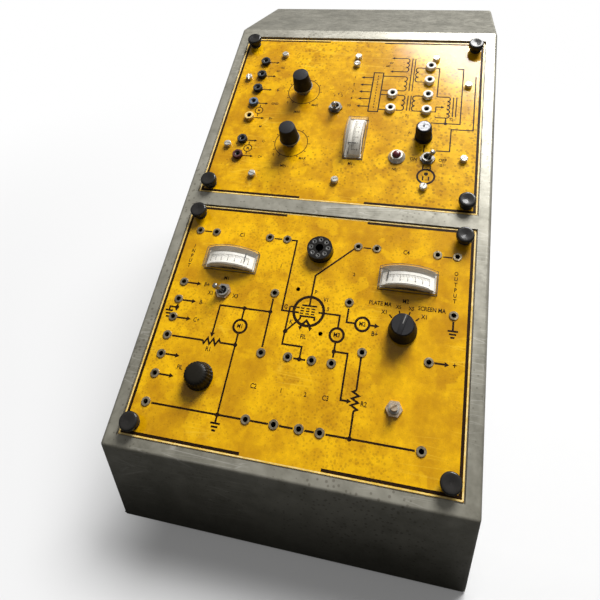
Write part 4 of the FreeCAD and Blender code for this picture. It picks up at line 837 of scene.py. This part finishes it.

# The tube socket is moulded bakelite, set in a hole of the panel, with a keyed hole in its middle. Eight
# plated spring contacts sit in its pin holes, each inside a low moulded rim. The rims are a lighter grey, a
# painted highlight, and the contacts are very dark, a painted shade of the holes.
SOCKET, PINS, PIN_CIRCLE = spot(0.0, 80.3), 8, 8.72
contact = turned_shape([(0.85, 2.0), (1.27, 2.0), (1.27, 9.75), (0.85, 9.6)], 20)
pins = [SOCKET @ Matrix.Rotation(math.tau * pin / PINS, 4, "Z") @ Matrix.Translation((0, PIN_CIRCLE, 0))
        for pin in range(PINS)]
# Painted highlight: a flat grey ring round each pin hole stands for the light off its moulded rim.
rim_highlight = moulded("rim_highlight", (0.05, 0.049, 0.047), (0.15, 0.147, 0.14), 0.3)
highlight_ring = turned_shape([(1.31, 9.51), (2.3, 9.51), (2.3, 9.58), (1.31, 9.58)], 24)
finish_piece("socket_rim_highlights", repeated(highlight_ring, pins), LOWER, "tube_panel", rim_highlight, ROUND)
# The contacts in the very dark plating are a painted shade of the pin holes.
finish_piece("socket_contacts", repeated(contact, pins), LOWER, "tube_panel", hole_shade_plating,
             ROUND)

# The meters read edgewise: a thin pointer sweeps over a white scale bent to an arc, under a clear moulded
# cover that stands on the panel. Inside the cover are a pale plate, a hazy back wall and a white apron.
clear, tree, shader = new_material("clear_cover", base_color=(0.72, 0.69, 0.62, 1.0), roughness=0.05)
tree.links.new(blend_value(tree, effect(tree, BLOTCHES, Scale=60.0), 0.05, 0.11), shader.inputs["Alpha"])
dress(clear, "supply_meter_cover", "lower_meter_covers")
card = cloudy("scale_card", 55.0, (0.87, 0.84, 0.76), (0.96, 0.94, 0.88), roughness=0.6,
              specular_ior_level=0.1)
dress(card, "lower_meter_scales")
aged_card = cloudy("aged_card", 55.0, (0.68, 0.65, 0.57), (0.79, 0.76, 0.68), roughness=0.6,
                   specular_ior_level=0.1)
dress(aged_card, "supply_meter_scale")
pointer_paint = cloudy("pointer_paint", 200.0, (0.008, 0.008, 0.008), (0.03, 0.03, 0.03), roughness=0.4)
dress(pointer_paint, "supply_needle", "left_needle", "right_needle")
scale_ink = cloudy("scale_ink", 150.0, (0.03, 0.02, 0.013), (0.07, 0.05, 0.032), roughness=0.6,
                   specular_ior_level=0.05)
METERS = (("supply", UPPER, "supply_panel", math.pi / 2, [(14.7, -35.0)]),
          ("lower", LOWER, "tube_panel", 0.0, [(-90.0, 58.4), (90.0, 58.4)]))
PIVOT_DEPTH = 23.7
SCALE_RADIUS = 37.0
TICKS, TICK_PITCH = 15, 2.2
# The row at the scale's lower edge holds a painted shadow line for the gap before the apron.
RULE_ROW, GAP_SHADOW_ROW, NUMBER_ROW = 1.6, -7.6, -4.3


def scale_print(drawing, middle, upright):
    """The marks of one meter, laid round its arc: a rule, a painted shadow line along the lower edge, ticks
    with every fifth longer, and numbers.
    """
    for step in range(-TICKS, TICKS):
        turn = Matrix.Rotation(math.radians(TICK_PITCH * (step + 0.5)), 4, "Y")
        # The second rule, at the lower edge, is a painted shadow of the gap between the scale and the apron.
        for row, width in ((RULE_ROW, 0.3), (GAP_SHADOW_ROW, 0.5)):
            rule = middle @ turn @ Matrix.Translation((0, row, SCALE_RADIUS))
            drawing.add(repeated(slab(1.46, width, 0.02, 0.1), [rule]))
    for step in range(-TICKS, TICKS + 1):
        width, length = (0.42, 4.6) if step % 5 == 0 else (0.3, 2.6)
        swung = middle @ Matrix.Rotation(math.radians(TICK_PITCH * step), 4, "Y")
        tick = swung @ Matrix.Translation((0, RULE_ROW - length / 2, SCALE_RADIUS))
        drawing.add(repeated(slab(width, length, 0.02, 0.11), [tick]))
        if step % 5 == 0:
            number = swung @ Matrix.Translation((0, NUMBER_ROW, SCALE_RADIUS + 0.02))
            drawing.letters(str(step // 5 + 3), number @ Matrix.Rotation(upright, 4, "Z"), 1.9)


for label, place, body, turn, middles in METERS:
    drawing = Print()
    for middle in middles:
        scale_print(drawing, spot(*middle, turn) @ Matrix.Translation((0, 0, -PIVOT_DEPTH)), -turn)
    finish_piece(f"{label}_scale_print", drawing.sheet, place, body, scale_ink)
rim = cloudy("cover_rim", 120.0, (0.05, 0.042, 0.032), (0.17, 0.15, 0.12), roughness=0.3,
             specular_ior_level=0.2, alpha=0.85)
plate = cloudy("meter_plate", 90.0, (0.55, 0.52, 0.45), (0.68, 0.65, 0.57), roughness=0.5)
haze = cloudy("cover_haze", 70.0, (0.52, 0.47, 0.38), (0.66, 0.61, 0.52), roughness=0.4, alpha=0.7)
ARC_SWEEP = math.radians(50.0)
COVER_RADIUS, COVER_END, COVER_SIDE, COVER_SHOULDER = 40.7, 27.75, 10.75, 6.07
RIM, FOOT_LEVEL, PLATE_LEVEL = 0.4, 0.32, 0.33
HOOD, APRON = (9.5, 20.0, 40.1, 25.5, 0.65), (-8.05, 28.5, 36.7, 23.4, 0.4)
ARCH_STEPS, ARCH_PITCH, ARCH_LENGTH = 12, 3.58, 2.56
WALL = 0.2


def box(shape, middle, size):
    """Add a plain block to a shape."""
    bmesh.ops.create_cube(shape, size=1.0, matrix=Matrix.Translation(middle) @ Matrix.Diagonal((*size, 1.0)))


def cover_rims():
    """The thick edges of a clear cover: round its arch, down its corners and along its foot."""
    shape = bmesh.new()
    for side in (-COVER_SIDE, COVER_SIDE):
        pivot = Matrix.Translation((0, side, -PIVOT_DEPTH))
        for step in range(-ARCH_STEPS, ARCH_STEPS):
            turn = Matrix.Rotation(math.radians(ARCH_PITCH * (step + 0.5)), 4, "Y")
            middle = pivot @ turn @ Matrix.Translation((0, 0, COVER_RADIUS))
            block = Matrix.Diagonal((ARCH_LENGTH, RIM, RIM, 1.0))
            bmesh.ops.create_cube(shape, size=1.0, matrix=middle @ block)
        for end in (-COVER_END, COVER_END):
            box(shape, (end, side, COVER_SHOULDER / 2), (RIM, RIM, COVER_SHOULDER))
        box(shape, (0, side * 1.02, FOOT_LEVEL), (COVER_END * 2, 0.5, 0.6))
    for end in (-COVER_END, COVER_END):
        box(shape, (end, 0, COVER_SHOULDER), (RIM, COVER_SIDE * 2, RIM))
        box(shape, (end * 1.008, 0, FOOT_LEVEL), (0.5, COVER_SIDE * 2, 0.6))
    return shape


def floor_plate():
    """The pale plate on the floor of a cover: a strip behind the scale and one at each end."""
    shape = bmesh.new()
    box(shape, (0, 8.0, PLATE_LEVEL), (52.6, 2.8, 0.6))
    for end in (-23.8, 23.8):
        box(shape, (end, -1.4, PLATE_LEVEL), (5.0, 15.6, 0.6))
    return shape


def arc_wall(depth, inner, outer, half, foot):
    """A thin upright wall across a cover: a ring about the pivot with plumb ends and a level foot."""
    shape = bmesh.new()
    ends = [shape.verts.new((0, depth, reach - PIVOT_DEPTH)) for reach in (inner, outer)]
    bmesh.ops.rotate(shape, verts=ends, cent=(0, 0, -PIVOT_DEPTH), matrix=Matrix.Rotation(-ARC_SWEEP, 3, "Y"))
    bmesh.ops.spin(shape, geom=[shape.edges.new(ends)], cent=(0, 0, -PIVOT_DEPTH), axis=(0, 1, 0),
                   angle=ARC_SWEEP * 2, steps=30)
    for point, away in (((0, 0, foot), (0, 0, -1)), ((half, 0, 0), (1, 0, 0)), ((-half, 0, 0), (-1, 0, 0))):
        bmesh.ops.bisect_plane(shape, geom=shape.verts[:] + shape.edges[:] + shape.faces[:], plane_co=point,
                               plane_no=away, clear_outer=True)
    raised = bmesh.ops.extrude_face_region(shape, geom=shape.faces[:], use_keep_orig=True)["geom"]
    backs = [item for item in raised if isinstance(item, bmesh.types.BMVert)]
    bmesh.ops.translate(shape, verts=backs, vec=(0, -WALL, 0))
    bmesh.ops.recalc_face_normals(shape, faces=shape.faces[:])
    return shape


for label, place, body, turn, middles in METERS:
    covers = [spot(*middle, turn) for middle in middles]
    for part, shape, finish, slot in (
            ("rims", cover_rims(), rim, "clear_cover"), ("plate", floor_plate(), plate, "scale_white"),
            ("hood", arc_wall(*HOOD), haze, "clear_cover"), ("apron", arc_wall(*APRON), card, "scale_white")):
        finish_piece(f"{label}_meter_{part}", repeated(shape, covers), place, body, finish)

# Under the supply panel hang the transformer, with its varnished iron core and wrapped winding, and three
# aluminium capacitor cans.
iron, tree, shader = new_material("core_iron", metallic=0.6, roughness=0.55)
layers = add_node(tree, "TexWave", {"Scale": 380.0, "Distortion": 0.6}, bands_direction="DIAGONAL")
tree.links.new(blend_colour(tree, layers.outputs["Fac"], (0.035, 0.030, 0.026), (0.11, 0.095, 0.08)),
               shader.inputs["Base Color"])
bump(tree, shader, layers.outputs["Fac"], 0.00006)
dress(iron, "transformer_core")
wrap, tree, shader = new_material("coil_wrap", roughness=0.62)
turns = add_node(tree, "TexWave", {"Scale": 60.0, "Distortion": 1.2}, bands_direction="Z")
tree.links.new(blend_colour(tree, turns.outputs["Fac"], (0.26, 0.14, 0.045), (0.38, 0.23, 0.09)),
               shader.inputs["Base Color"])
bump(tree, shader, turns.outputs["Fac"], 0.0001)
dress(wrap, "transformer_coil")
aluminium = plated("spun_aluminium", (0.42, 0.42, 0.41), (0.58, 0.58, 0.57), 0.3)
dress(aluminium, "filter_capacitors")


# Floor and light: a white paper sweep under the console, one large soft box high behind its right side, and
# a dim white room for the rest. The paper's own glow is cut in front of the case, a painted shadow that
# deepens its shadow there.
def background_rays(tree, mirrored):
    """How far a ray meets the white background: seen, or through glass, or in part mirrored in metal."""
    path = add_node(tree, "LightPath")
    direct = combine(tree, "MAXIMUM", path.outputs["Is Camera Ray"], path.outputs["Is Transmission Ray"])
    mirror = combine(tree, "MULTIPLY", path.outputs["Is Glossy Ray"], mirrored)
    return combine(tree, "MAXIMUM", direct, mirror)


FLOOR_MIRRORED, ROOM_MIRRORED = 0.03, 0.14
GLOW, PAINTED_SHADOW_GLOW = 0.46, 0.11
FLOOR_GREY, FLOOR_WHITE = (0.07, 0.07, 0.07), (0.5, 0.5, 0.5)
floor_shape = bmesh.new()
bmesh.ops.create_grid(floor_shape, x_segments=1, y_segments=1, size=6.0)
floor_mesh = bpy.data.meshes.new("floor")
floor_shape.to_mesh(floor_mesh)
floor_shape.free()
floor = bpy.data.objects.new("floor", floor_mesh)
scene.collection.objects.link(floor)
paper = bpy.data.materials.new("floor_paper")
paper.use_nodes = True
tree = paper.node_tree
tree.nodes.remove(tree.nodes["Principled BSDF"])
shown = background_rays(tree, FLOOR_MIRRORED)
lit = add_node(tree, "BsdfDiffuse", {"Color": blend_colour(tree, shown, FLOOR_GREY, FLOOR_WHITE)})
plain = add_node(tree, "Emission", {"Color": (1.0, 1.0, 1.0, 1.0), "Strength": 1.0})
reach = add_node(tree, "VectorMath", {0: add_node(tree, "TexCoord").outputs["Object"]}, operation="LENGTH")
# Painted shadow: in a zone just in front of the case's left part, the paper's glow drops.
before = combine(tree, "MULTIPLY", threshold(tree, coordinate(tree, "Object", "Y"), -0.26, -0.31),
                 threshold(tree, coordinate(tree, "Object", "X"), -0.20, -0.11))
shadowed_glow = blend_value(tree, before, GLOW, PAINTED_SHADOW_GLOW)
white = blend_value(tree, threshold(tree, reach.outputs["Value"], 0.5, 1.3), shadowed_glow, 1.0)
mix = add_node(tree, "MixShader", {0: combine(tree, "MULTIPLY", shown, white), 1: lit.outputs[0],
                                   2: plain.outputs[0]})
tree.links.new(mix.outputs[0], tree.nodes["Material Output"].inputs["Surface"])
floor_mesh.materials.append(paper)

world = bpy.data.worlds.new("room")
scene.world = world
world.use_nodes = True
tree = world.node_tree
dim = blend_value(tree, coordinate(tree, "Generated", "Z"), 0.012, 0.3)
strength = blend_value(tree, background_rays(tree, ROOM_MIRRORED), dim, 1.0)
tree.links.new(strength, tree.nodes["Background"].inputs["Strength"])
tree.nodes["Background"].inputs["Color"].default_value = (1.0, 1.0, 1.0, 1.0)

soft_box = bpy.data.objects.new("soft_box", bpy.data.lights.new("soft_box", "AREA"))
scene.collection.objects.link(soft_box)
soft_box.data.shape = "SQUARE"
soft_box.data.size = 1.75
soft_box.data.energy = 300.0
soft_box.location = (0.89, 1.435, 3.44)
soft_box.rotation_euler = (Vector((0.03, 0.0, 0.25)) - soft_box.location).to_track_quat("-Z", "Y").to_euler()
